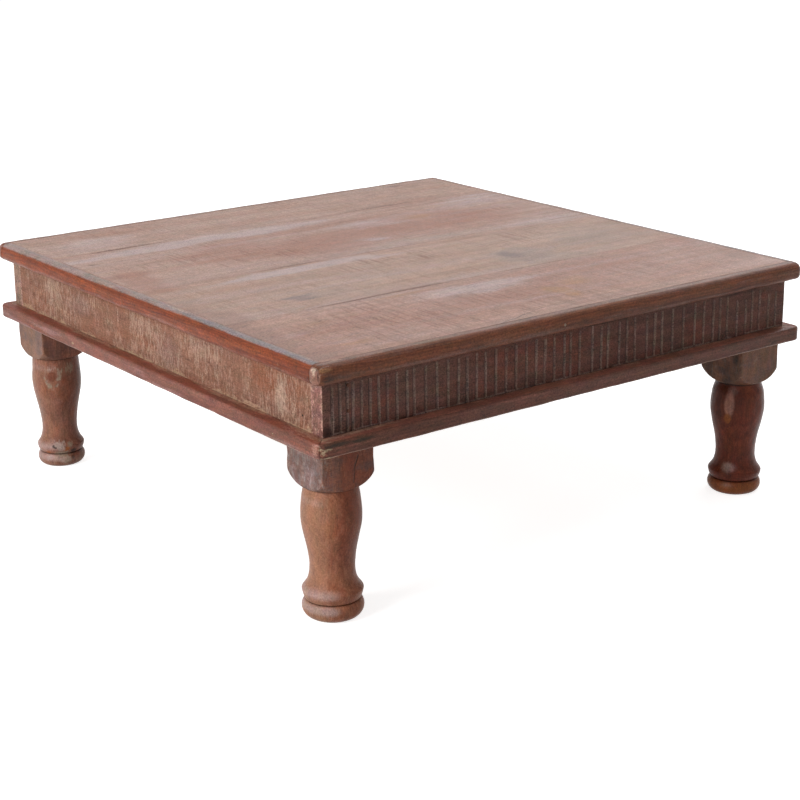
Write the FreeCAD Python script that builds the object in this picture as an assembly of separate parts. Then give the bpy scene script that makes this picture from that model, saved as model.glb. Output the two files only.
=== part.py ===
import FreeCAD, Part
import os

# A bajot: a low square table of nailed hardwood boards on four short turned legs, in millimetres.
# The origin is on the floor under the middle of the table. +Z is up, +X runs to the right along
# the reeded front, and the reeded front faces -Y. Nothing on the table moves.

# Whole table, over the edging
table_width = 669.0
table_depth = 676.0
table_height = 274.5

# Top: four planks along X inside a nosed edging, all of one thickness
top_thickness = 20.0
edging_width = 14.0
edging_corner_radius = 10.0
nosing_top_radius = 9.0
nosing_bottom_radius = 6.0
plank_gap = 0.4
plank_width_shares = (0.256, 0.262, 0.308, 0.174)
plank_names = ("front", "middle_front", "middle_back", "back")

# Frieze boards under the top, and the V cuts that make the reeds of the front and the back
frieze_height = 55.0
frieze_thickness = 18.5
frieze_setback = 14.5
reed_width = 13.6
reed_cut_width = 3.0
reed_cut_depth = 1.4
reed_cut_margin = 3.5
reed_width_shares = (
    0.86, 0.67, 0.62, 0.45, 0.77, 0.74, 0.77, 0.76, 0.85, 0.92, 0.62, 1.04, 1.04, 1.01, 0.95, 0.85,
    0.86, 0.86, 0.98, 0.98, 0.99, 1.04, 0.92, 0.84, 1.00, 1.04, 0.61, 0.92, 1.35, 0.92, 0.67, 1.23,
    0.86, 0.85, 1.29, 0.83, 0.83, 1.17, 1.22, 1.29, 1.04, 1.10, 0.79, 0.86, 1.16, 1.04, 0.74, 0.86,
    1.10, 0.92,
)

# Base moulding: a flat mitred frame under the frieze boards, flush with them inside
moulding_thickness = 16.0
moulding_reach = 15.0
moulding_corner_radius = 10.0
moulding_top_radius = 3.0
moulding_bottom_radius = 4.0

# Legs, turned from square blanks; the head is cut back to a post that stands inside the frieze
leg_blank = 62.0
leg_arris_radius = 1.5
leg_head_height = 25.8
pommel_height = 17.7
pommel_bulge_rise = 5.4
pommel_top_radius = 45.0
pommel_bulge_radius = 39.2
pommel_end_radius = 32.3
neck_drop = 1.6
neck_radius = 27.6
vase_foot_height = 28.4
foot_groove_height = 19.7
foot_groove_radius = 26.6
foot_groove_width = 1.8
foot_groove_lip = 1.7
foot_ring_height = 12.0
foot_ring_radius = 31.1
foot_flat_radius = 21.0
bead_radius = 30.6
bead_middle_height = 24.0
bead_middle_radius = 29.7
# Vase outline from the bead to the neck: height above the bead, and radius, as shares of the
# vase's height and of the bead's radius
vase_shares = (
    (0.016, 0.997), (0.044, 0.928), (0.071, 0.859), (0.101, 0.810), (0.139, 0.770), (0.180, 0.748),
    (0.235, 0.741), (0.289, 0.752), (0.370, 0.788), (0.452, 0.843), (0.534, 0.905), (0.615, 0.961),
    (0.686, 0.988), (0.751, 0.992), (0.806, 0.977), (0.860, 0.956), (0.915, 0.940), (0.960, 0.922),
)
# How full each leg was turned at its foot and at its neck, and how high its foot and its head came
# out, as shares of the sizes above
leg_girth_shares = {
    "front_left": (1.01, 1.01),
    "front_right": (0.99, 1.035),
    "back_left": (0.91, 0.995),
    "back_right": (0.97, 0.98),
}
leg_height_shares = {
    "front_left": (1.0, 1.0),
    "front_right": (0.88, 1.16),
    "back_left": (0.86, 1.04),
    "back_right": (0.94, 1.02),
}
# How far each leg's head stands behind the faces of the side and the front or back frieze boards
leg_setbacks = {
    "front_left": (0.1, 2.2),
    "front_right": (1.7, 1.9),
    "back_left": (0.3, 1.2),
    "back_right": (1.0, 1.6),
}

# Battens under the planks
batten_width = 45.0
batten_thickness = 20.0
batten_offset = 150.0

# Round wire nails with thin flat heads
edging_nail_radius = 1.1
edging_nail_length = 24.0
edging_head_radius = 2.0
edging_head_thickness = 0.8
edging_nail_shares = (-0.86, -0.52, -0.176, -0.088, 0.34, 0.84)
plank_nail_radius = 1.4
plank_nail_length = 42.0
plank_head_radius = 2.8
plank_nail_sink = 2.0
plank_nail_inset_share = 0.35
plank_nail_shares = (0.25, 0.65)
plank_front_nail_shares = (-0.68, -0.27, 0.2, 0.62)
frieze_nail_radius = 1.4
frieze_nail_length = 40.0
frieze_head_radius = 2.6
frieze_nail_low = 14.4
frieze_nail_high = 40.0
frieze_nail_stagger = 6.5
moulding_nail_radius = 1.4
moulding_nail_length = 40.0
moulding_head_radius = 2.8
moulding_nail_shares = (-0.6, -0.22, 0.25, 0.63)
batten_nail_radius = 1.4
batten_nail_length = 35.0
batten_head_radius = 2.8
batten_nail_shares = (0.2, 0.8)
head_thickness = 1.0

# How far a cutting shape runs past what it cuts
cut_overrun = 5.0

os.makedirs("parts", exist_ok=True)

# Levels from the floor up
top_underside = table_height - top_thickness
frieze_underside = top_underside - frieze_height
moulding_underside = frieze_underside - moulding_thickness

# Half sizes of the rectangles that the boards follow, as (x, y)
half_top = (table_width / 2, table_depth / 2)
half_planks = tuple(half - edging_width for half in half_top)
half_frieze = tuple(half - frieze_setback for half in half_top)
half_inside = tuple(half - frieze_thickness for half in half_frieze)
half_moulding = tuple(half + moulding_reach for half in half_frieze)
leg_signs = {"front_left": (-1, -1), "front_right": (1, -1), "back_left": (-1, 1), "back_right": (1, 1)}

origin = FreeCAD.Vector(0, 0, 0)
z_axis = FreeCAD.Vector(0, 0, 1)


def block(x_range, y_range, z_range):
    """A box between two places along each axis."""
    low = FreeCAD.Vector(min(x_range), min(y_range), min(z_range))
    size = [max(span) - min(span) for span in (x_range, y_range, z_range)]
    return Part.makeBox(size[0], size[1], size[2], low)


def centred_block(half, z_range):
    """A box of the given half sizes, centred on the table."""
    return block((-half[0], half[0]), (-half[1], half[1]), z_range)


def flat_prism(points, z_range):
    """A prism that stands on a flat outline."""
    corners = [FreeCAD.Vector(x, y, min(z_range)) for x, y in points]
    face = Part.Face(Part.makePolygon(corners + corners[:1]))
    return face.extrude(FreeCAD.Vector(0, 0, max(z_range) - min(z_range)))


def half_turn(shape):
    """The same piece on the opposite side of the table."""
    turned = shape.copy()
    turned.rotate(origin, z_axis, 180)
    return turned


def upright_edges(shape):
    """The edges that run along Z."""
    return [edge for edge in shape.Edges if edge.BoundBox.ZLength > edge.BoundBox.XLength + edge.BoundBox.YLength]


def level_edges(shape, level):
    """The edges that lie flat at a level."""
    return [edge for edge in shape.Edges if all(abs(end.Z - level) <= end.Tolerance for end in edge.Vertexes)]


def round_plate(half, z_range, corner_radius, top_radius, bottom_radius):
    """A plate with rounded corners in plan and rounded upper and lower edges."""
    plate = centred_block(half, z_range)
    plate = plate.makeFillet(corner_radius, upright_edges(plate))
    plate = plate.makeFillet(top_radius, level_edges(plate, max(z_range)))
    return plate.makeFillet(bottom_radius, level_edges(plate, min(z_range)))


def leg_axis(name):
    """How far a leg's axis stands from the middle of the table, along X and along Y."""
    return tuple(half - setback - leg_blank / 2 for half, setback in zip(half_frieze, leg_setbacks[name]))


def nail(tip_distance, shank_radius, head_radius, head_height, place, direction):
    """A nail with its head's outer face at the place, pointing along the direction."""
    head = Part.makeCylinder(head_radius, head_height, place, direction)
    shank = Part.makeCylinder(shank_radius, tip_distance, place, direction)
    return head.fuse(shank).removeSplitter()


def edging_nails():
    """Nails through the edging into the planks, with their heads flush in the flat of the nosing."""
    flat_low = top_underside + nosing_bottom_radius
    flat_high = table_height - nosing_top_radius
    level = (flat_low + flat_high) / 2
    nails = []
    for share in edging_nail_shares:
        for side in (-1, 1):
            across = FreeCAD.Vector(-side * share * half_planks[0], side * half_top[1], level)
            along = FreeCAD.Vector(side * half_top[0], side * share * half_planks[1], level)
            for place, direction in ((across, FreeCAD.Vector(0, -side, 0)), (along, FreeCAD.Vector(-side, 0, 0))):
                nails.append(nail(edging_nail_length, edging_nail_radius, edging_head_radius,
                                  edging_head_thickness, place, direction))
    return nails


def plank_rows():
    """Each plank's name with the place of its front and back edge."""
    rows = []
    edge = -half_planks[1]
    for name, share in zip(plank_names, plank_width_shares):
        width = share * 2 * half_planks[1]
        rows.append((name, edge, edge + width))
        edge += width
    return rows


def places_on_planks(shares):
    """Places along Y on each plank, as shares of what lies inside the frieze."""
    places = []
    for name, front, back in plank_rows():
        low = max(front, -half_inside[1])
        high = min(back, half_inside[1])
        places += [low + share * (high - low) for share in shares]
    return places


def plank_nails():
    """Nails from the planks down into the frieze boards, sunk and stopped flush with the planks."""
    level = table_height - plank_nail_sink
    row = tuple(half + plank_nail_inset_share * frieze_thickness for half in half_inside)
    places = [(side * row[0], y) for y in places_on_planks(plank_nail_shares) for side in (-1, 1)]
    for share in plank_front_nail_shares:
        places += [(-side * share * half_inside[0], side * row[1]) for side in (-1, 1)]
    return [nail(plank_nail_length, plank_nail_radius, plank_head_radius, head_thickness,
                 FreeCAD.Vector(x, y, level), FreeCAD.Vector(0, 0, -1)) for x, y in places]


def frieze_nails():
    """Two nails from each end of each frieze board into the leg's post behind it."""
    nails = []
    for name, (sign_x, sign_y) in leg_signs.items():
        axis_x, axis_y = leg_axis(name)
        for rise in (frieze_nail_low, frieze_nail_high):
            level = frieze_underside + rise
            side = FreeCAD.Vector(sign_x * half_frieze[0], sign_y * axis_y, level)
            front = FreeCAD.Vector(sign_x * axis_x, sign_y * half_frieze[1], level + frieze_nail_stagger)
            for place, direction in ((side, FreeCAD.Vector(-sign_x, 0, 0)), (front, FreeCAD.Vector(0, -sign_y, 0))):
                nails.append(nail(frieze_nail_length, frieze_nail_radius, frieze_head_radius,
                                  head_thickness, place, direction))
    return nails


def moulding_nails():
    """Nails from below through the base moulding into the frieze boards."""
    board_middle = tuple(half - frieze_thickness / 2 for half in half_frieze)
    places = []
    for share in moulding_nail_shares:
        for side in (-1, 1):
            places.append((-side * share * half_inside[0], side * board_middle[1]))
            places.append((side * board_middle[0], side * share * half_inside[1]))
    return [nail(moulding_nail_length, moulding_nail_radius, moulding_head_radius, head_thickness,
                 FreeCAD.Vector(x, y, moulding_underside), z_axis) for x, y in places]


def batten_nails():
    """Nails up through the battens, two into each plank."""
    level = top_underside - batten_thickness
    nails = []
    for share in batten_nail_shares:
        x = batten_offset + (share - 0.5) * batten_width / 2
        for y in places_on_planks((share,)):
            for side in (-1, 1):
                nails.append(nail(batten_nail_length, batten_nail_radius, batten_head_radius,
                                  head_thickness, FreeCAD.Vector(side * x, y, level), z_axis))
    return nails


def planks():
    """The four planks, side by side along X."""
    pieces = {}
    for name, front, back in plank_rows():
        y_range = (front + plank_gap / 2, back - plank_gap / 2)
        if name == plank_names[0]:
            y_range = (front, y_range[1])
        if name == plank_names[-1]:
            y_range = (y_range[0], back)
        x_range = (-half_planks[0], half_planks[0])
        pieces["top_plank_" + name] = block(x_range, y_range, (top_underside, table_height))
    return pieces


def edging_strips():
    """The edging, cut from one nosed plate: front and back run through, the sides fit between."""
    z_range = (top_underside, table_height)
    plate = round_plate(half_top, z_range, edging_corner_radius, nosing_top_radius, nosing_bottom_radius)
    z_cut = (top_underside - cut_overrun, table_height + cut_overrun)
    x_cut = (-half_top[0] - cut_overrun, half_top[0] + cut_overrun)
    front = plate.common(block(x_cut, (-half_top[1] - cut_overrun, -half_planks[1]), z_cut))
    left = plate.common(block((x_cut[0], -half_planks[0]), (-half_planks[1], half_planks[1]), z_cut))
    return {
        "edging_front": front,
        "edging_back": half_turn(front),
        "edging_left": left,
        "edging_right": half_turn(left),
    }


def reed_cuts():
    """The V cuts of the front frieze board, at the uneven spacing of hand work."""
    face = -half_frieze[1]
    z_range = (frieze_underside - cut_overrun, top_underside - reed_cut_margin)
    slope = reed_cut_width / 2 / reed_cut_depth
    mouth = reed_cut_width / 2 + cut_overrun * slope
    cuts = []
    x = -half_frieze[0]
    for share in reed_width_shares:
        x += share * reed_width
        if x < half_frieze[0] - reed_cut_width:
            points = ((x - mouth, face - cut_overrun), (x + mouth, face - cut_overrun), (x, face + reed_cut_depth))
            cuts.append(flat_prism(points, z_range))
    return cuts


def frieze_boards():
    """The frieze: front and back boards run through, the side boards fit between them."""
    z_range = (frieze_underside, top_underside)
    front = block((-half_frieze[0], half_frieze[0]), (-half_frieze[1], -half_inside[1]), z_range)
    front = front.cut(Part.makeCompound(reed_cuts()))
    left = block((-half_frieze[0], -half_inside[0]), (-half_inside[1], half_inside[1]), z_range)
    return {
        "frieze_front": front,
        "frieze_back": half_turn(front),
        "frieze_left": left,
        "frieze_right": half_turn(left),
    }


def base_mouldings():
    """The base moulding: a frame with rounded edges, mitred at its four corners."""
    z_range = (moulding_underside, frieze_underside)
    frame = round_plate(half_moulding, z_range, moulding_corner_radius, moulding_top_radius,
                        moulding_bottom_radius)
    z_cut = (moulding_underside - cut_overrun, frieze_underside + cut_overrun)
    frame = frame.cut(centred_block(half_inside, z_cut))
    outer = tuple(half + cut_overrun for half in half_moulding)
    inner = tuple(half - cut_overrun for half in half_inside)
    front_wedge = ((-outer[0], -outer[1]), (outer[0], -outer[1]), (inner[0], -inner[1]), (-inner[0], -inner[1]))
    left_wedge = ((-outer[0], -outer[1]), (-inner[0], -inner[1]), (-inner[0], inner[1]), (-outer[0], outer[1]))
    front = frame.common(flat_prism(front_wedge, z_cut))
    left = frame.common(flat_prism(left_wedge, z_cut))
    return {
        "base_moulding_front": front,
        "base_moulding_back": half_turn(front),
        "base_moulding_left": left,
        "base_moulding_right": half_turn(left),
    }


def turned_outline(name):
    """The closed half outline of the turned leg and its pommel, in the XZ plane."""
    foot_girth, neck_girth = leg_girth_shares[name]
    foot_share, head_share = leg_height_shares[name]
    pommel_start_height = moulding_underside - leg_head_height * head_share
    pommel_end_height = pommel_start_height - pommel_height
    neck_height = pommel_end_height - neck_drop

    def at(radius, height):
        girth = foot_girth + (neck_girth - foot_girth) * height / neck_height
        return FreeCAD.Vector(radius * girth, 0, height)

    groove_height = foot_groove_height * foot_share
    groove_low = groove_height - foot_groove_width / 2
    groove_high = groove_height + foot_groove_width / 2
    groove_lip = foot_groove_radius + foot_groove_lip
    vase_foot = vase_foot_height * foot_share
    vase_height = neck_height - vase_foot
    vase = [at(bead_radius, vase_foot)]
    vase += [at(radius * bead_radius, vase_foot + height * vase_height) for height, radius in vase_shares]
    vase.append(at(neck_radius, neck_height))
    vase_curve = Part.BSplineCurve()
    vase_curve.interpolate(vase)
    pommel_end = FreeCAD.Vector(pommel_end_radius, 0, pommel_end_height)
    pommel_bulge = FreeCAD.Vector(pommel_bulge_radius, 0, pommel_end_height + pommel_bulge_rise)
    pommel_top = FreeCAD.Vector(pommel_top_radius, 0, pommel_start_height)
    blank_top = FreeCAD.Vector(pommel_top_radius, 0, moulding_underside)
    edges = [
        Part.LineSegment(origin, at(foot_flat_radius, 0)),
        Part.Arc(at(foot_flat_radius, 0), at(foot_ring_radius, foot_ring_height * foot_share),
                 at(groove_lip, groove_low)),
        Part.LineSegment(at(groove_lip, groove_low), at(foot_groove_radius, groove_height)),
        Part.LineSegment(at(foot_groove_radius, groove_height), at(groove_lip, groove_high)),
        Part.Arc(at(groove_lip, groove_high), at(bead_middle_radius, bead_middle_height * foot_share), vase[0]),
        vase_curve,
        Part.LineSegment(vase[-1], pommel_end),
        Part.Arc(pommel_end, pommel_bulge, pommel_top),
        Part.LineSegment(pommel_top, blank_top),
        Part.LineSegment(blank_top, at(0, moulding_underside)),
        Part.LineSegment(at(0, moulding_underside), origin),
    ]
    return Part.Wire([edge.toShape() for edge in edges])


def leg(name):
    """One leg: turned foot, vase and pommel below a square head, with its post inside the frieze."""
    sign_x, sign_y = leg_signs[name]
    axis_x, axis_y = leg_axis(name)
    half = leg_blank / 2
    turned = Part.Face(turned_outline(name)).revolve(origin, z_axis, 360)
    blank = block((-half, half), (-half, half), (0, moulding_underside))
    shaped = turned.common(blank.makeFillet(leg_arris_radius, upright_edges(blank)))
    shaped.translate(FreeCAD.Vector(sign_x * axis_x, sign_y * axis_y, 0))
    post = block((sign_x * (axis_x - half), sign_x * half_inside[0]),
                 (sign_y * (axis_y - half), sign_y * half_inside[1]), (moulding_underside, top_underside))
    return shaped.fuse(post).removeSplitter()


def battens():
    """Two battens across the planks, from the front frieze board to the back one."""
    z_range = (top_underside - batten_thickness, top_underside)
    half = batten_width / 2
    right = block((batten_offset - half, batten_offset + half), (-half_inside[1], half_inside[1]), z_range)
    return {"batten_right": right, "batten_left": half_turn(right)}


def pierced(shape, nails):
    """The piece with a hole for each nail that reaches it."""
    through = [piece for piece in nails if piece.BoundBox.intersect(shape.BoundBox)]
    return shape.cut(Part.makeCompound(through)) if through else shape


def build():
    """Every wooden piece with its nail holes, and each set of nails as a group."""
    nail_sets = {
        "edging_nails": edging_nails(),
        "plank_nails": plank_nails(),
        "frieze_nails": frieze_nails(),
        "moulding_nails": moulding_nails(),
        "batten_nails": batten_nails(),
    }
    wood = {}
    for pieces in (planks(), edging_strips(), frieze_boards(), base_mouldings(), battens()):
        wood.update(pieces)
    for name in leg_signs:
        wood["leg_" + name] = leg(name)
    every_nail = [piece for pieces in nail_sets.values() for piece in pieces]
    nodes = {name: pierced(shape, every_nail) for name, shape in wood.items()}
    nodes.update({name: Part.makeCompound(pieces) for name, pieces in nail_sets.items()})
    return nodes


for node, shape in build().items():
    shape.exportStep("parts/" + node + ".step")
    print(node, len(shape.Solids), shape.isValid(), round(shape.Volume / 1000, 1))
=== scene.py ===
import math

import bpy
import numpy as np
from mathutils import Matrix, Vector


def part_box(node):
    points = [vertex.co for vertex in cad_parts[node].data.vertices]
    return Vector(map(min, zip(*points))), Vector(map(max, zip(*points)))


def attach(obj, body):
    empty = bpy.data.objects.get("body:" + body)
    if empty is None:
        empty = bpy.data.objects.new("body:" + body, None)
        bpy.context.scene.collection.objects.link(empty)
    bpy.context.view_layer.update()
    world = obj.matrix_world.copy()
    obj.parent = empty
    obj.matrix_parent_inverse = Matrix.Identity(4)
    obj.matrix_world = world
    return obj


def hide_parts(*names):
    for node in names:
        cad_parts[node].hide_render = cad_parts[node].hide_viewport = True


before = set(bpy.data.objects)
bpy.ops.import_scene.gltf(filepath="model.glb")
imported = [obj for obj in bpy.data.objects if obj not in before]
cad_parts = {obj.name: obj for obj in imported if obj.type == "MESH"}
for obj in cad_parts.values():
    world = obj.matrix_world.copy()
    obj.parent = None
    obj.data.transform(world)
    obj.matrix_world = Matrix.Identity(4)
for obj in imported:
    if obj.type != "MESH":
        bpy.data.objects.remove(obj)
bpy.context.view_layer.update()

# Camera. It stands in front of the table's front left corner, a little above it, level with the eye
# of someone sitting on the floor two metres away.
camera_azimuth = math.radians(-37.12)
camera_elevation = math.radians(17.666)
camera_roll = math.radians(-0.4657)
camera_place = (-1.24019, -1.66010, 0.75322)
camera_lens = 82.02
camera_back = Vector((
    math.sin(camera_azimuth) * math.cos(camera_elevation),
    -math.cos(camera_azimuth) * math.cos(camera_elevation),
    math.sin(camera_elevation),
))
level_right = Vector((math.cos(camera_azimuth), math.sin(camera_azimuth), 0))
level_up = camera_back.cross(level_right)
camera_right = level_right * math.cos(camera_roll) + level_up * math.sin(camera_roll)
camera_up = level_up * math.cos(camera_roll) - level_right * math.sin(camera_roll)
camera_turn = Matrix((camera_right, camera_up, camera_back)).transposed().to_4x4()
camera = bpy.data.objects.new("camera", bpy.data.cameras.new("camera"))
camera.data.sensor_width = 36
camera.data.lens = camera_lens
camera.matrix_world = Matrix.Translation(camera_place) @ camera_turn
bpy.context.scene.collection.objects.link(camera)
bpy.context.scene.camera = camera
bpy.context.scene.view_settings.view_transform = "Standard"


# Light and floor. A wide soft lamp stands to the left of the table and two weaker ones hang over it
# and behind it, in a pale room, over a plain pale floor.
class Finish:
    """A material under the hand, with the plain steps that build it up."""

    def __init__(self, name):
        self.material = bpy.data.materials.new(name)
        self.material.use_nodes = True
        self.tree = self.material.node_tree
        self.tree.nodes.clear()

    def step(self, kind, settings=None, **inputs):
        made = self.tree.nodes.new("ShaderNode" + kind)
        for name, value in (settings or {}).items():
            setattr(made, name, value)
        for name, value in inputs.items():
            socket = made.inputs[int(name[1:])] if name[1:].isdigit() else made.inputs[name.replace("_", " ")]
            if isinstance(value, bpy.types.NodeSocket):
                self.tree.links.new(value, socket)
            else:
                socket.default_value = value
        return made

    def sum(self, how, first, second=0.0, third=0.0, clamp=False):
        settings = {"operation": how, "use_clamp": clamp}
        return self.step("Math", settings, i0=first, i1=second, i2=third).outputs[0]

    def spread(self, value, low, high, to_low=0.0, to_high=1.0):
        """Brings a value from one span to another, smoothly and no further."""
        settings = {"interpolation_type": "SMOOTHSTEP"}
        return self.step("MapRange", settings, Value=value, From_Min=low, From_Max=high, To_Min=to_low,
                         To_Max=to_high).outputs[0]

    def blend(self, share, first, second):
        made = self.step("Mix", {"data_type": "RGBA", "clamp_factor": True}, Factor=share)
        for socket, value in ((made.inputs[6], first), (made.inputs[7], second)):
            if isinstance(value, bpy.types.NodeSocket):
                self.tree.links.new(value, socket)
            else:
                socket.default_value = (*value, 1.0)
        return made.outputs[2]

    def speckle(self, place, scale, detail=2.0, roughness=0.5):
        return self.step("TexNoise", None, Vector=place, Scale=scale, Detail=detail,
                         Roughness=roughness).outputs[0]

    def stretch(self, place, scales, shift=(0, 0, 0)):
        return self.step("Mapping", None, Vector=place, Scale=scales, Location=shift).outputs[0]

    def mark(self, name):
        """How strong a mark is here, as the piece's mesh carries it."""
        return self.step("Attribute", {"attribute_name": name}).outputs["Fac"]


def soft_lamp(name, place, aim, size, power):
    lamp = bpy.data.lights.new(name, "AREA")
    lamp.shape = "RECTANGLE"
    lamp.size, lamp.size_y = size
    lamp.energy = power
    made = bpy.data.objects.new(name, lamp)
    made.location = place
    made.rotation_mode = "QUATERNION"
    made.rotation_quaternion = (Vector(place) - Vector(aim)).to_track_quat("Z", "Y")
    bpy.context.scene.collection.objects.link(made)
    return made


soft_lamp("left_lamp", (-2.7, -0.2, 1.35), (0, 0, 0.15), (1.5, 1.3), 54)
soft_lamp("top_lamp", (0.5, 0.6, 2.6), (0, 0, 0.2), (1.8, 1.8), 26)
soft_lamp("back_lamp", (2.6, 0.9, 1.7), (0, 0, 0.15), (1.4, 1.2), 16)

room_light = 0.30
world = bpy.data.worlds.new("room")
bpy.context.scene.world = world
world.use_nodes = True
room = world.node_tree
room.nodes.clear()
room_rays = room.nodes.new("ShaderNodeLightPath")
room_seen = room_rays.outputs["Is Camera Ray"]
for ray_kind in ("Is Glossy Ray", "Is Transmission Ray"):
    either = room.nodes.new("ShaderNodeMath")
    either.operation = "MAXIMUM"
    room.links.new(room_seen, either.inputs[0])
    room.links.new(room_rays.outputs[ray_kind], either.inputs[1])
    room_seen = either.outputs[0]
room_strength = room.nodes.new("ShaderNodeMapRange")
room_strength.inputs["To Min"].default_value = room_light
room_strength.inputs["To Max"].default_value = 1.0
room.links.new(room_seen, room_strength.inputs["Value"])
room_glow = room.nodes.new("ShaderNodeBackground")
room_glow.inputs["Color"].default_value = (1, 1, 1, 1)
room.links.new(room_strength.outputs[0], room_glow.inputs["Strength"])
room_output = room.nodes.new("ShaderNodeOutputWorld")
room.links.new(room_glow.outputs[0], room_output.inputs["Surface"])

floor_reach = 12.0
floor_grey = 0.80
floor_glow = 0.80
floor_mesh = bpy.data.meshes.new("floor")
floor_corners = [(x * floor_reach, y * floor_reach, 0.0) for x, y in ((-1, -1), (1, -1), (1, 1), (-1, 1))]
floor_mesh.from_pydata(floor_corners, [], [(0, 1, 2, 3)])
floor = bpy.data.objects.new("floor", floor_mesh)
bpy.context.scene.collection.objects.link(floor)
paint = Finish("floor_paint")
rays = paint.step("LightPath")
seen = paint.sum("MAXIMUM", rays.outputs["Is Camera Ray"], rays.outputs["Is Glossy Ray"])
seen = paint.sum("MAXIMUM", seen, rays.outputs["Is Transmission Ray"])
flat_paint = paint.step("BsdfDiffuse", None, Color=(floor_grey, floor_grey, floor_grey, 1))
glow = paint.step("Emission", None, Color=(1, 1, 1, 1), Strength=paint.sum("MULTIPLY", seen, floor_glow))
both = paint.step("AddShader", None, i0=flat_paint.outputs[0], i1=glow.outputs[0])
paint.step("OutputMaterial", None, Surface=both.outputs[0])
floor_mesh.materials.append(paint.material)


# Top planks. Four sawn hardwood boards lie side by side from left to right. They were sawn, roughly
# planed, stained and waxed, and are nailed down to the frieze boards. Age left them red where the
# stain is thick, pale where the wax went dull, and grey round the knots.
def rgb(red, green, blue):
    """A colour as read off a screen, turned into the light it stands for."""
    return tuple((part / 255 / 12.92) if part <= 10 else ((part / 255 + 0.055) / 1.055) ** 2.4
                 for part in (red, green, blue))


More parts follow.
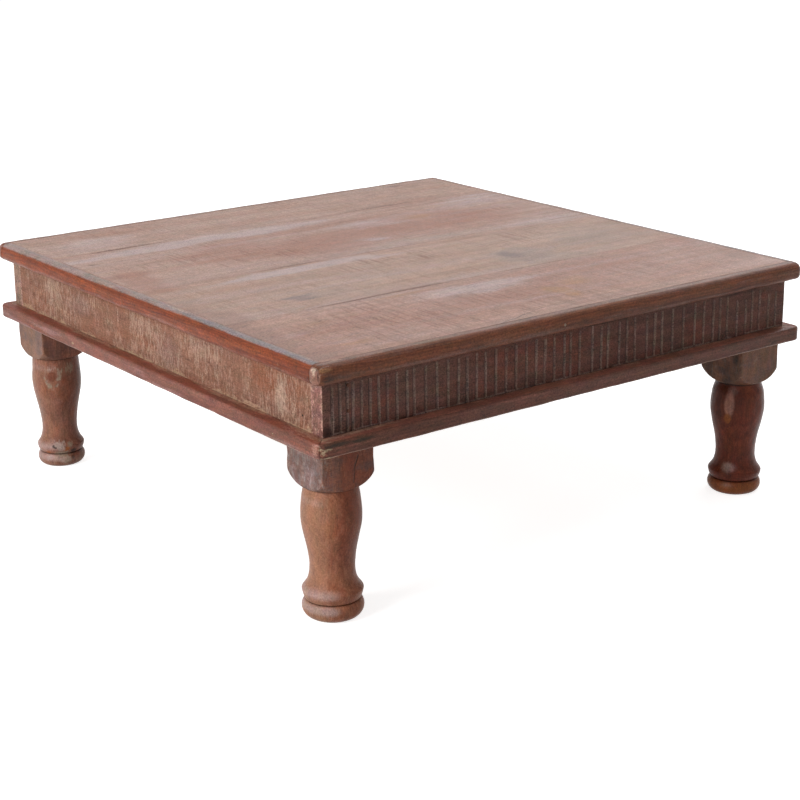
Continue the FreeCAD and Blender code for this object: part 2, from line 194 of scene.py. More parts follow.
def wood(name, along, tones, heart, ring_width, grain, shine, bump, seed, marks=(), sawn=None, cracks=()):
    """Hardwood: rings round the heart of the tree, fibres and pores along the board, the saw's marks
    across it, what age left on it, and on some pieces painted highlights and shade. Tones are its
    dark and light colour. Grain says how much the rings, broad bands, long fibres, fine fibres,
    mottling and grit show. Shine is the specular level and the least and most roughness. Each mark
    has its name on the mesh, its colour, how far it covers the wood and how much the fibres, or the
    saw's teeth if negative, break it up. Sawn is the colour, spacing and length of the saw's marks.
    A crack has its two ends, its width and its strength."""
    f = Finish(name)
    place = f.step("TexCoord").outputs["Object"]
    parts = f.step("SeparateXYZ", None, Vector=place).outputs
    order = {"x": (0, 1, 2), "y": (1, 0, 2), "z": (2, 0, 1)}[along]
    run, side, depth = (parts[i] for i in order)
    shift = (seed * 3.1, seed * 1.7, seed * 2.3)
    board = f.step("CombineXYZ", None, X=run, Y=side, Z=depth).outputs[0]
    # Fibres wander a few millimetres from side to side along the board
    wander = f.speckle(f.stretch(board, (2.5, 9, 9), shift), 1.0, 3, 0.55)
    wander = f.sum("MULTIPLY", f.sum("SUBTRACT", wander, 0.5), 0.04)
    side = f.sum("ADD", side, wander)
    depth = f.sum("MULTIPLY_ADD", wander, 0.6, depth)
    fibre_place = f.step("CombineXYZ", None, X=run, Y=side, Z=depth).outputs[0]
    squares = [f.sum("POWER", f.sum("ABSOLUTE", f.sum("SUBTRACT", at, middle)), 2.0)
               for at, middle in ((side, heart[0]), (depth, heart[1]))]
    from_heart = f.sum("SQRT", f.sum("ADD", *squares))
    turn = f.sum("FRACT", f.sum("DIVIDE", from_heart, ring_width))
    rings = f.sum("MULTIPLY", f.spread(turn, 0.0, 0.75), f.spread(turn, 1.0, 0.86))
    broad = f.speckle(f.stretch(fibre_place, (3, 22, 22), shift), 1.0, 3, 0.55)
    coarse = f.speckle(f.stretch(fibre_place, (5, 160, 160), shift), 1.0, 4, 0.6)
    fine = f.speckle(f.stretch(fibre_place, (40, 900, 900), shift), 1.0, 3, 0.65)
    pores = f.spread(f.speckle(f.stretch(fibre_place, (90, 1300, 1300), shift), 1.0, 2, 0.5), 0.60, 0.70)
    grit = f.speckle(f.stretch(board, (480, 650, 650), shift), 1.0, 3, 0.75)
    tone = 0.5
    for layer, strength in zip((rings, broad, coarse, fine), grain):
        tone = f.sum("MULTIPLY_ADD", f.sum("SUBTRACT", layer, 0.5), strength, tone)
    if sawn:
        tooth_colour, spacing, reach = sawn
        teeth = f.speckle(f.stretch(board, (0.9 / spacing, 1 / reach, 1 / reach), shift), 1.0, 3, 0.62)
        cuts = f.sum("MULTIPLY", f.spread(teeth, 0.52, 0.64), f.mark("sawn"), clamp=True)
        teeth = f.sum("MULTIPLY", f.sum("SUBTRACT", teeth, 0.5), -2.6)
        tone = f.sum("MULTIPLY_ADD", teeth, f.sum("MULTIPLY", f.mark("sawn"), 0.7), tone)
    colour = f.blend(f.sum("MINIMUM", f.sum("MAXIMUM", tone, 0.0), 1.0), *tones)
    colour = f.blend(f.sum("MULTIPLY", pores, 0.30), colour, tuple(part * 0.35 for part in tones[0]))
    height = f.sum("MULTIPLY_ADD", coarse, 0.3, f.sum("MULTIPLY", fine, 0.35))
    height = f.sum("MULTIPLY_ADD", pores, -0.35, height)
    height = f.sum("MULTIPLY_ADD", grit, 0.4, height)
    crumble = f.speckle(f.stretch(fibre_place, (70, 420, 420), shift), 1.0, 4, 0.65)
    crumble = f.sum("ADD", crumble, f.speckle(f.stretch(board, (190, 280, 280), shift), 1.0, 4, 0.7))
    crumble = f.sum("MULTIPLY", f.sum("SUBTRACT", crumble, 1.0), 1.3)
    if sawn:
        colour = f.blend(cuts, colour, tooth_colour)
        height = f.sum("MULTIPLY_ADD", cuts, -1.2, height)
    matt = 0.0
    for mark, mark_colour, cover, broken in marks:
        there = f.mark(mark)
        bits = f.sum("MULTIPLY", crumble if broken >= 0 else teeth, f.sum("MULTIPLY", there, 4.0, clamp=True))
        share = f.spread(f.sum("MULTIPLY_ADD", bits, abs(broken), there), 0.12, 0.88, 0.0, cover)
        colour = f.blend(share, colour, mark_colour)
        if mark == "dust":
            matt = f.sum("MULTIPLY", share, 0.25)
            height = f.sum("MULTIPLY_ADD", share, 0.5, height)
    mottled, gritty = grain[4:]
    mottle = f.step("TexNoise", None, Vector=f.stretch(board, (45, 95, 95), shift), Scale=1.0, Detail=4.0,
                    Roughness=0.62).outputs
    specks = f.sum("MULTIPLY_ADD", mottle[0], mottled * 0.7, 1 - mottled / 2 - gritty / 2)
    specks = f.sum("MULTIPLY_ADD", grit, gritty, specks)
    specks = f.step("VectorMath", {"operation": "MULTIPLY_ADD"}, i0=mottle[1], i1=(mottled * 0.3,) * 3,
                    i2=specks).outputs[0]
    colour = f.step("VectorMath", {"operation": "MULTIPLY"}, i0=colour, i1=specks).outputs[0]
    if cracks:
        stray = f.step("TexNoise", None, Vector=place, Scale=45.0, Detail=3.0)
        bent = f.step("VectorMath", {"operation": "MULTIPLY_ADD"}, i0=stray.outputs["Color"],
                      i1=(0.006, 0.006, 0.006), i2=place).outputs[0]
        bent = f.step("VectorMath", {"operation": "SUBTRACT"}, i0=bent, i1=(0.003, 0.003, 0.003)).outputs[0]
        for start, end, width, strength in cracks:
            reach = Vector(end) - Vector(start)
            from_start = f.step("VectorMath", {"operation": "SUBTRACT"}, i0=bent, i1=start).outputs[0]
            share = f.step("VectorMath", {"operation": "DOT_PRODUCT"}, i0=from_start,
                           i1=tuple(reach / reach.length_squared)).outputs["Value"]
            nearest = f.step("VectorMath", {"operation": "SCALE"}, i0=tuple(reach),
                             Scale=f.sum("ADD", share, 0.0, clamp=True)).outputs[0]
            far = f.step("VectorMath", {"operation": "DISTANCE"}, i0=from_start, i1=nearest).outputs["Value"]
            open_there = f.spread(far, width * 0.25, width, strength, 0.0)
            colour = f.blend(open_there, colour, tuple(part * 0.25 for part in tones[0]))
            height = f.sum("MULTIPLY_ADD", open_there, -2.0, height)
    patches = f.speckle(f.stretch(board, (5, 14, 14), shift), 1.0, 4, 0.6)
    level, smooth, rough = shine
    roughness = f.spread(patches, 0.3, 0.7, smooth, smooth + (rough - smooth) * 0.7)
    roughness = f.sum("MULTIPLY_ADD", fine, (rough - smooth) * 0.3, roughness)
    roughness = f.sum("ADD", roughness, matt, clamp=True)
    relief = f.step("Bump", None, Strength=bump, Distance=0.0006, Height=height).outputs[0]
    shader = f.step("BsdfPrincipled", None, Base_Color=colour, Roughness=roughness, Normal=relief)
    shader.inputs["Specular IOR Level"].default_value = level
    f.step("OutputMaterial", None, Surface=shader.outputs[0])
    return f.material


def scatter(cells, seed):
    """One number from 0 to 1 for each whole-number cell, the same on every run."""
    mixed = cells[..., 0] * 374761393 + cells[..., 1] * 668265263 + cells[..., 2] * 2147483647
    mixed = mixed + seed * 974634777
    mixed = (mixed ^ (mixed >> 13)) * 1274126177
    mixed = mixed & 0x7FFFFFFF
    mixed = ((mixed ^ (mixed >> 16)) * 2246822519) & 0x7FFFFFFF
    return (mixed ^ (mixed >> 11)) / 0x7FFFFFFF


def uneven(points, cell, seed, layers=1):
    """Smooth chance from about -1 to 1 over space, with lumps the size of the cell in metres."""
    total = np.zeros(len(points))
    weight = 1.0
    for layer in range(layers):
        spot = points / (np.array(cell) / 2 ** layer)
        corner = np.floor(spot).astype(np.int64)
        part = spot - corner
        part = part * part * (3 - 2 * part)
        value = np.zeros(len(points))
        for step in range(8):
            offset = np.array([step & 1, step >> 1 & 1, step >> 2 & 1])
            share = np.prod(np.where(offset, part, 1 - part), axis=1)
            value += share * scatter(corner + offset, seed + 17 * layer)
        total += weight * (2 * value - 1)
        weight /= 2
    return total


def hollows(points, cell, seed, layers=1):
    """Smooth chance from 0 to about 2, for how far a surface lies under its true place."""
    return np.maximum(1 + uneven(points, cell, seed, layers), 0)


def ramp(value, low, high):
    """0 below low, 1 above high, and smooth between."""
    share = np.clip((value - low) / (high - low), 0, 1)
    return share * share * (3 - 2 * share)


def spots(points, places, wobble=0.0, seed=0):
    """How strong each named mark is, from spots that have a middle, a reach each way and a strength."""
    stray = [uneven(points, (0.06, 0.03, 0.03), seed + k, 3) for k in range(3)]
    strayed = points + wobble * np.column_stack(stray)
    found = {}
    for name, middle, reach, strength in places:
        far = (((strayed[:, :len(middle)] - middle) / reach) ** 2).sum(axis=1)
        found[name] = found.get(name, 0.0) + strength * np.exp(-far ** 1.5)
    return found


def lines(low, high, step, edge=0.0012, edge_steps=3):
    """Places from low to high: a few close to each end, for the eased edge, then one every step."""
    near = [edge * math.tan(math.pi / 4 * k / edge_steps) for k in range(edge_steps + 1)]
    inner = np.linspace(low + edge, high - edge, max(2, round((high - low) / step) + 1))
    return np.concatenate([low + np.array(near[:-1]), inner, high - np.array(near[:-1])[::-1]])


def box_surface(xs, ys, zs):
    """The skin of a block as points and four-sided faces, with a row of points at each place given."""
    counts = (len(xs), len(ys), len(zs))
    number = -np.ones(counts, dtype=np.int64)
    skin = np.zeros(counts, dtype=bool)
    for axis in range(3):
        for end in (0, -1):
            skin[tuple(end if k == axis else slice(None) for k in range(3))] = True
    number[skin] = np.arange(skin.sum())
    where = np.argwhere(skin)
    points = np.stack([np.asarray(places)[where[:, k]] for k, places in enumerate((xs, ys, zs))], axis=1)
    faces = []
    for axis in range(3):
        for end in (0, -1):
            side = number[tuple(end if k == axis else slice(None) for k in range(3))]
            quads = np.stack([side[:-1, :-1], side[1:, :-1], side[1:, 1:], side[:-1, 1:]], axis=-1)
            quads = quads.reshape(-1, 4)
            outward = (end == -1) != (axis == 1)
            faces.append(quads if outward else quads[:, ::-1])
    return points, np.concatenate(faces)


def ease(points, low, high, radius):
    """Rounds the edges of a block. The radius may differ from point to point."""
    radius = np.broadcast_to(radius, (len(points),))[:, None]
    inner = np.clip(points, low + radius, high - radius)
    out = points - inner
    length = np.linalg.norm(out, axis=1)[:, None]
    return np.where(length > 0, inner + out * radius / np.maximum(length, 1e-12), points)


def make_piece(name, points, faces, finish, slot, nodes, sharp=None, **marks):
    """A piece in the scene from its points and faces, standing for its CAD nodes, with its marks."""
    mesh = bpy.data.meshes.new(name)
    mesh.vertices.add(len(points))
    mesh.vertices.foreach_set("co", points.astype(np.float32).ravel())
    mesh.loops.add(len(faces) * 4)
    mesh.loops.foreach_set("vertex_index", faces.astype(np.int32).ravel())
    mesh.polygons.add(len(faces))
    mesh.polygons.foreach_set("loop_start", np.arange(0, len(faces) * 4, 4, dtype=np.int32))
    mesh.polygons.foreach_set("use_smooth", np.ones(len(faces), dtype=bool))
    mesh.update(calc_edges=True)
    mesh.validate()
    if sharp:
        mesh.set_sharp_from_angle(angle=math.radians(sharp))
    for mark, value in marks.items():
        values = np.broadcast_to(value, (len(points),)).astype(np.float32)
        mesh.attributes.new(mark, "FLOAT", "POINT").data.foreach_set("value", values)
    mesh.materials.append(finish)
    piece = bpy.data.objects.new(name, mesh)
    bpy.context.scene.collection.objects.link(piece)
    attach(piece, "root")
    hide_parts(*nodes)
    return piece


def corners(node):
    """The low and the high corner of a node's box."""
    return (np.array(corner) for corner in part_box(node))


plank_tones = {
    "front": (rgb(138, 100, 85), rgb(174, 138, 123)),
    "middle_front": (rgb(142, 110, 94), rgb(174, 143, 127)),
    "middle_back": (rgb(140, 106, 93), rgb(174, 142, 128)),
    "back": (rgb(140, 107, 93), rgb(176, 145, 130)),
}
plank_step = 0.0025
plank_arris = 0.00006
# Spots on the top, with their middle and reach along X and Y
top_spots = (
    ("blush", (0.13, 0.105), (0.14, 0.055), 0.85), ("blush", (-0.03, 0.07), (0.07, 0.05), 0.5),
    ("blush", (-0.13, 0.115), (0.075, 0.05), 0.5), ("blush", (-0.296, 0.06), (0.02, 0.06), 0.6),
    ("grime", (-0.310, -0.18), (0.022, 0.16), 0.75), ("grime", (-0.305, -0.31), (0.04, 0.018), 0.6),
    ("blush", (-0.15, -0.25), (0.12, 0.06), 0.35), ("blush", (0.04, -0.248), (0.11, 0.035), 0.65),
    ("blush", (0.13, -0.20), (0.09, 0.03), 0.4), ("blush", (0.23, -0.25), (0.08, 0.05), 0.45),
    ("blush", (0.311, -0.27), (0.012, 0.02), 1.2), ("grime", (0.304, -0.277), (0.013, 0.016), 1.1),
    ("grime", (0.285, -0.255), (0.045, 0.060), 0.45), ("blush", (0.300, -0.20), (0.025, 0.06), 0.4),
    ("blush", (-0.295, -0.30), (0.03, 0.035), 0.5),
    ("blush", (-0.20, 0.28), (0.06, 0.03), 0.35), ("blush", (-0.22, -0.03), (0.04, 0.03), 0.25),
    ("pale", (-0.14, 0.187), (0.19, 0.013), 0.9), ("pale", (0.27, 0.185), (0.06, 0.025), 0.5),
    ("pale", (-0.12, -0.008), (0.11, 0.012), 1.0), ("pale", (0.27, 0.02), (0.08, 0.03), 0.4),
    ("pale", (-0.02, -0.195), (0.08, 0.017), 0.55), ("pale", (0.06, 0.135), (0.05, 0.02), 0.35),
    ("pale", (-0.24, 0.25), (0.05, 0.03), 0.3), ("pale", (0.03, 0.065), (0.02, 0.01), 0.4),
    ("grey", (0.118, -0.112), (0.036, 0.040), 0.95), ("grey", (0.10, -0.13), (0.07, 0.03), 0.3),
    ("grey", (0.25, -0.09), (0.08, 0.06), 0.5),
    ("grey", (0.06, 0.025), (0.13, 0.014), 0.5), ("grey", (-0.13, -0.115), (0.05, 0.02), 0.35),
    ("grey", (-0.06, 0.222), (0.09, 0.014), 0.35), ("grey", (0.28, 0.20), (0.05, 0.03), 0.35),
    ("ochre", (0.15, 0.135), (0.025, 0.012), 0.6), ("ochre", (0.030, -0.259), (0.015, 0.032), 1.2),
    ("ochre", (0.075, -0.235), (0.020, 0.020), 0.7), ("ochre", (-0.10, -0.170), (0.05, 0.006), 0.6),
    ("ochre", (-0.258, -0.283), (0.022, 0.006), 0.6), ("ochre", (-0.155, -0.27), (0.014, 0.008), 0.4),
    ("ochre", (-0.29, 0.285), (0.03, 0.02), 0.3), ("ochre", (-0.262, -0.205), (0.030, 0.012), 0.4),
    ("blush", (-0.245, -0.235), (0.045, 0.012), 0.5), ("ochre", (0.02, -0.12), (0.05, 0.03), 0.2),
    ("dark", (-0.232, 0.210), (0.045, 0.0045), 0.55), ("dark", (0.14, 0.215), (0.055, 0.005), 0.6),
    ("dark", (-0.310, 0.162), (0.007, 0.004), 0.9), ("dark", (-0.25, 0.12), (0.030, 0.003), 0.6),
    ("dark", (0.065, 0.163), (0.026, 0.004), 0.6), ("dark", (-0.145, 0.021), (0.03, 0.0028), 0.5),
    ("dark", (-0.100, 0.028), (0.03, 0.0028), 0.5), ("dark", (-0.135, 0.008), (0.035, 0.003), 0.6),
    ("dark", (0.117, -0.065), (0.006, 0.003), 0.6), ("dark", (-0.075, 0.229), (0.045, 0.003), 0.4),
    ("dark", (0.24, 0.318), (0.012, 0.006), 0.8), ("dark", (-0.07, 0.316), (0.008, 0.005), 0.5),
    ("dark", (-0.22, 0.317), (0.012, 0.005), 0.5), ("dark", (-0.255, 0.028), (0.004, 0.014), 0.4),
    ("knot", (-0.198, -0.108), (0.021, 0.011), 0.95), ("knot", (-0.190, -0.124), (0.016, 0.006), 0.85),
    ("grey", (-0.193, -0.114), (0.050, 0.018), 0.5), ("ochre", (-0.2205, -0.1519), (0.030, 0.004), 0.6),
    ("knot", (0.108, -0.101), (0.014, 0.017), 0.85), ("knot", (0.128, -0.125), (0.020, 0.018), 0.45),
    ("knot", (0.100, -0.135), (0.010, 0.012), 0.45),
    ("raw", (0.112, -0.077), (0.004, 0.003), 0.8), ("knot", (-0.318, -0.02), (0.004, 0.02), 0.5),
    ("sawn", (-0.13, 0.12), (0.09, 0.06), 0.6), ("sawn", (0.12, 0.10), (0.16, 0.05), 0.4),
    ("sawn", (-0.17, -0.24), (0.08, 0.08), 0.7), ("sawn", (-0.02, -0.255), (0.11, 0.05), 0.7),
    ("sawn", (0.17, -0.24), (0.12, 0.05), 0.5), ("sawn", (-0.06, -0.035), (0.025, 0.018), 0.6),
    ("sawn", (0.02, -0.035), (0.03, 0.018), 0.6), ("sawn", (0.16, -0.05), (0.03, 0.03), 0.4),
    ("sawn", (-0.22, 0.27), (0.06, 0.04), 0.3), ("sawn", (-0.07, 0.07), (0.05, 0.04), 0.4),
)
# Where dirt fills the joints between the planks: the joint's Y, then the middle, reach and strength
joint_dirt = (
    (-0.1577, -0.12, 0.10, 0.95), (-0.1577, 0.20, 0.10, 0.15), (0.0117, -0.13, 0.05, 0.7),
    (0.0117, 0.1, 0.1, 0.25), (0.2113, -0.232, 0.05, 0.8), (0.2113, 0.14, 0.07, 0.8),
)
top_crack_ends = ((-0.098, -0.3235, 0.2745), (-0.062, -0.3130, 0.2745), (-0.030, -0.3035, 0.2745),
                  (0.060, -0.3030, 0.2745), (0.150, -0.3180, 0.2745))
top_crack_strengths = (0.75, 0.7, 0.3, 0.35)
top_cracks = [(start, end, 0.0013, strength)
              for start, end, strength in zip(top_crack_ends, top_crack_ends[1:], top_crack_strengths)]
plank_marks = (
    ("blush", rgb(142, 94, 76), 0.75, 0.5), ("grey", rgb(146, 126, 116), 0.7, 0.4),
    ("ochre", rgb(152, 106, 66), 0.8, 0.6), ("pale", rgb(170, 149, 147), 0.8, 0.5),
    ("knot", rgb(110, 92, 90), 0.75, 0.7), ("dark", rgb(104, 78, 66), 0.75, 0.8),
    ("seam", rgb(108, 74, 60), 0.85, 0.9), ("grime", rgb(132, 100, 88), 0.7, 0.6),
    ("raw", rgb(156, 122, 94), 0.8, 0.3),
)
for plank_number, (plank_name, tones) in enumerate(plank_tones.items()):
    node = "top_plank_" + plank_name
    low, high = corners(node)
    steps = (plank_step, plank_step, 0.006)
    points, faces = box_surface(*(lines(low[k], high[k], steps[k]) for k in range(3)))
    upper = points[:, 2] > high[2] - 0.002
    marks = spots(points, top_spots, 0.010, 3)
    for joint_y, x, reach, strength in joint_dirt:
        there = strength * np.exp(-((points[:, 0] - x) / reach) ** 4)
        aside = points[:, 1] - joint_y - 0.003 * uneven(points, (0.09, 9, 9), 33, 2)
        marks["seam"] = marks.get("seam", 0.0) + there * (1 - ramp(np.abs(aside), 0.0008, 0.0036))
    drift = uneven(points, (0.30, 0.022, 0.5), 31, 3)
    streaky = uneven(points, (0.10, 0.006, 0.5), 39, 3)
    marks["blush"] = marks["blush"] * (1 + 0.35 * streaky) + 0.22 + 0.30 * drift
    for mark, least, more, cell, mark_seed in (("pale", 0.20, 0.30, (0.35, 0.03, 0.5), 37),
                                               ("grey", 0.10, 0.25, (0.08, 0.04, 0.5), 43)):
        marks[mark] = marks[mark] * (1 + 0.45 * streaky) + least + more * uneven(points, cell, mark_seed, 3)
    marks["sawn"] = (marks["sawn"] + 0.25) * (1 + 0.5 * uneven(points, (0.04, 0.03, 0.5), 41, 3))
    marks = {mark: value * upper for mark, value in marks.items()}
    marks["sawn"] = marks["sawn"] + 0.8 * ~upper
    marks["raw"] = marks["raw"] + 1.0 * ~upper
    points = ease(points, low, high, plank_arris * hollows(points, (0.03, 0.03, 0.03), 3 + plank_number, 2))
    points[:, 2] -= 0.00015 * hollows(points, (0.12, 0.05, 0.05), 11 + plank_number, 3) * upper
    finish = wood("top_" + plank_name, "x", tones, (0.04 * plank_number - 0.1, 0.12), 0.011,
                  (0.15, 0.9, 1.0, 1.0, 0.7, 2.2), (0.40, 0.42, 0.60), 0.5, plank_number + 1.0, plank_marks,
                  (rgb(122, 82, 68), 0.0032, 0.045), top_cracks if plank_name == "front" else ())
    make_piece("plank_" + plank_name, points, faces, finish, "top_wood", [node], **marks)


# Edging. Four strips of redder wood are nailed round the planks, with their outer edges rounded over
# by hand. The front and back strips run through, so their end grain shows on the sides. Their flat
# tops are grey like the planks, and hands have worn the lower edge pale.
top_low = np.array(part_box("edging_front")[0])
top_high = np.array(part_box("edging_back")[1])
edging_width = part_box("edging_left")[1][0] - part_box("edging_left")[0][0]
edging_corner = 0.010
nosing_top = 0.009
nosing_bottom = 0.006


def normals_of(points, faces):
    """The direction that the surface faces at each point."""
    first, second, third, fourth = (points[faces[:, k]] for k in range(4))
    square_to = np.cross(third - first, fourth - second)
    total = np.zeros_like(points)
    for k in range(4):
        np.add.at(total, faces[:, k], square_to)
    return total / np.maximum(np.linalg.norm(total, axis=1), 1e-12)[:, None]


def squeeze(first, second):
    """Turns a square corner into a round one: both parts grow shorter towards the diagonal."""
    longest = np.maximum(first, second)
    length = np.maximum(np.hypot(first, second), 1e-12)
    return first * longest / length, second * longest / length


def nosed(points, half, corner, level, top_radius, bottom_radius):
    """Rounds a rectangular plate in plan and over its upper and lower outer edges."""
    sign = np.where(points[:, :2] < 0, -1.0, 1.0)
    inset = half - np.abs(points[:, :2])
    in_corner = (inset[:, 0] < corner) & (inset[:, 1] < corner)
    out_x, out_y = squeeze(np.clip(corner - inset[:, 0], 0, None), np.clip(corner - inset[:, 1], 0, None))
    plan = np.abs(points[:, :2])
    plan = np.where(in_corner[:, None], half - corner + np.stack([out_x, out_y], axis=1), plan)
    depth = np.where(in_corner, corner - np.hypot(out_x, out_y), inset.min(axis=1))
    along_x = inset[:, 0] <= inset[:, 1]
    straight = np.stack([along_x, ~along_x], axis=1).astype(float)
    round_out = np.stack([out_x, out_y], axis=1) / np.maximum(np.hypot(out_x, out_y), 1e-12)[:, None]
    outward = np.where(in_corner[:, None], round_out, straight)
    height = points[:, 2].copy()
    new_depth = depth.copy()
    for radius, edge, way in ((top_radius, level[1], 1), (bottom_radius, level[0], -1)):
        rise = (height - edge) * way + radius
        within = (depth < radius) & (rise > 0)
        out, up = squeeze(np.clip(radius - depth, 0, None), np.clip(rise, 0, None))
        new_depth = np.where(within, radius - out, new_depth)
        height = np.where(within, edge + way * (up - radius), height)
    plan = plan - outward * (new_depth - depth)[:, None]
    return np.column_stack([plan * sign, height])


edging_half = (top_high - top_low)[:2] / 2
edging_level = (top_low[2], top_high[2])
strip_across = np.concatenate([np.linspace(0, edging_corner, 10), [0.012, 0.0132, edging_width]])
strip_heights = np.linspace(edging_level[0], edging_level[1], 19)
edging_spots = (
    ("pale", (-0.3345, -0.3290, 0.2705), (0.005, 0.0036, 0.0022), 1.2),
    ("pale", (-0.3345, -0.3310, 0.2675), (0.004, 0.0016, 0.0030), 0.8),
    ("pale", (-0.3335, -0.3362, 0.2665), (0.004, 0.0006, 0.0065), 1.0),
    ("dark", (-0.3340, -0.3348, 0.264), (0.004, 0.0007, 0.0090), 0.9),
    ("pale", (-0.326, -0.3345, 0.2740), (0.010, 0.0010, 0.003), 0.6),
    ("amber", (-0.3260, -0.3375, 0.2705), (0.010, 0.004, 0.0028), 0.9),
    ("dark", (-0.3220, -0.3380, 0.2610), (0.009, 0.004, 0.0045), 0.35),
    ("pale", (-0.3190, -0.170, 0.2745), (0.0016, 0.012, 0.003), 0.8),
    ("pale", (-0.3180, -0.225, 0.2745), (0.0014, 0.010, 0.003), 0.7),
    ("pale", (-0.325, -0.075, 0.2745), (0.0014, 0.030, 0.003), 0.5),
    ("pale", (-0.304, -0.325, 0.2745), (0.008, 0.003, 0.003), 0.5),
    ("dark", (-0.3225, -0.195, 0.2745), (0.0012, 0.050, 0.003), 0.55),
    ("dark", (-0.3215, -0.265, 0.2745), (0.0010, 0.025, 0.003), 0.45),
    ("dark", (-0.305, -0.338, 0.262), (0.035, 0.004, 0.006), 0.25),
    ("dark", (0.240, -0.338, 0.262), (0.030, 0.004, 0.005), 0.35),
)
for strip in ("front", "back", "left", "right"):
    node = "edging_" + strip
    low, high = corners(node)
    length_axis = 0 if strip in ("front", "back") else 1
    outer = edging_half[1 - length_axis]
    if length_axis == 0:
        end_lines = np.linspace(0, edging_corner, 10)[:-1]
        middle_lines = np.linspace(low[0] + edging_corner, high[0] - edging_corner, 260)
        run = np.concatenate([low[0] + end_lines, middle_lines, high[0] - end_lines[::-1]])
    else:
        run = lines(low[1], high[1], 0.0025, 0.0005)
    way = -1 if strip in ("front", "left") else 1
    across = np.sort(way * (outer - strip_across))
    axes = (run, across) if length_axis == 0 else (across, run)
    points, faces = box_surface(axes[0], axes[1], strip_heights)
    soft = uneven(points, (0.05, 0.05, 0.05), 41, 2)
    waves = uneven(points, (0.035, 0.035, 9.0), 43, 2)
    points = nosed(points, edging_half, edging_corner, edging_level, nosing_top * (1 + 0.06 * soft),
                   nosing_bottom * (1 + 0.22 * waves))
    outward = normals_of(points, faces)
    points -= outward * (0.00022 * hollows(points, (0.02, 0.02, 0.006), 47, 3))[:, None]
    is_side = strip in ("left", "right")
    marks = spots(points, edging_spots)
    inner = np.abs(way * outer - points[:, 1 - length_axis])
    seam = 1 - ramp(edging_width - inner, 0.0002, 0.0016)
    seam_dirt = seam * (outward[:, 2] > 0.5) * hollows(points, (0.08, 9, 9), 51, 2)
    marks["dark"] += (0.30 if is_side else 0.65) * seam_dirt
    nearness = ramp(-points[:, 1], -0.25, 0.25)
    side_flat = ramp(outward[:, 2], 0.45 + 0.27 * nearness, 0.85 + 0.12 * nearness)
    flat = side_flat if is_side else ramp(outward[:, 2], 0.90, 0.995)
    streaky = uneven(points, (0.06, 0.004, 0.004) if length_axis == 0 else (0.004, 0.06, 0.004), 53, 3)
    marks["grey"] = flat * (0.80 + 0.25 * soft + 0.22 * streaky)
    inmost = ramp(inner + 0.0012 * uneven(points, (0.05, 0.05, 9), 59, 3), 0.0098, 0.0118)
    marks["board"] = flat * inmost * is_side
    marks["slate"] = flat * is_side * nearness * (0.75 + 0.3 * streaky)
    worn_line = edging_level[0] + 0.0045 + 0.0028 * uneven(points, (0.045, 0.045, 9.0), 49, 3)
    low_edge = 1 - ramp(points[:, 2], worn_line - 0.002, worn_line + 0.0025)
    marks["wear"] = (0.5 if is_side else 0.35) * low_edge
    if not is_side:
        marks["wear"] += 0.55 * ramp(uneven(points, (0.06, 0.05, 0.003), 57, 3), -0.1, 0.9)
    end_grain = (np.abs(outward[:, 0]) > 0.6) * (1 - is_side)
    marks["ends"] = 0.85 * end_grain
    if is_side:
        tones = (rgb(88, 34, 16), rgb(138, 68, 36))
        grey, wear = rgb(146, 128, 122), rgb(144, 98, 82)
    else:
        tones = (rgb(78, 42, 28), rgb(126, 74, 50))
        grey, wear = rgb(130, 104, 94), rgb(118, 84, 72)
    finish = wood("edging_" + strip, "y" if is_side else "x", tones, (way * 0.35, 0.25), 0.0030,
                  (0.30, 1.2, 2.0, 1.0, 1.2, 2.4), (0.20, 0.38, 0.58), 0.4, 7.0 + length_axis,
                  (("grey", grey, 0.92, 0.5), ("slate", rgb(124, 116, 118), 0.8, 0.6),
                   ("board", rgb(150, 124, 115), 0.85, 0.7), ("amber", rgb(156, 112, 80), 0.8, 0.6),
                   ("wear", wear, 0.8, 0.8), ("ends", rgb(140, 100, 88), 0.9, 0.5),
                   ("pale", rgb(204, 172, 152), 0.85, 0.9), ("dark", rgb(44, 28, 24), 0.8, 0.6)))
    make_piece("edging_strip_" + strip, points, faces, finish, "edging_wood", [node], **marks)
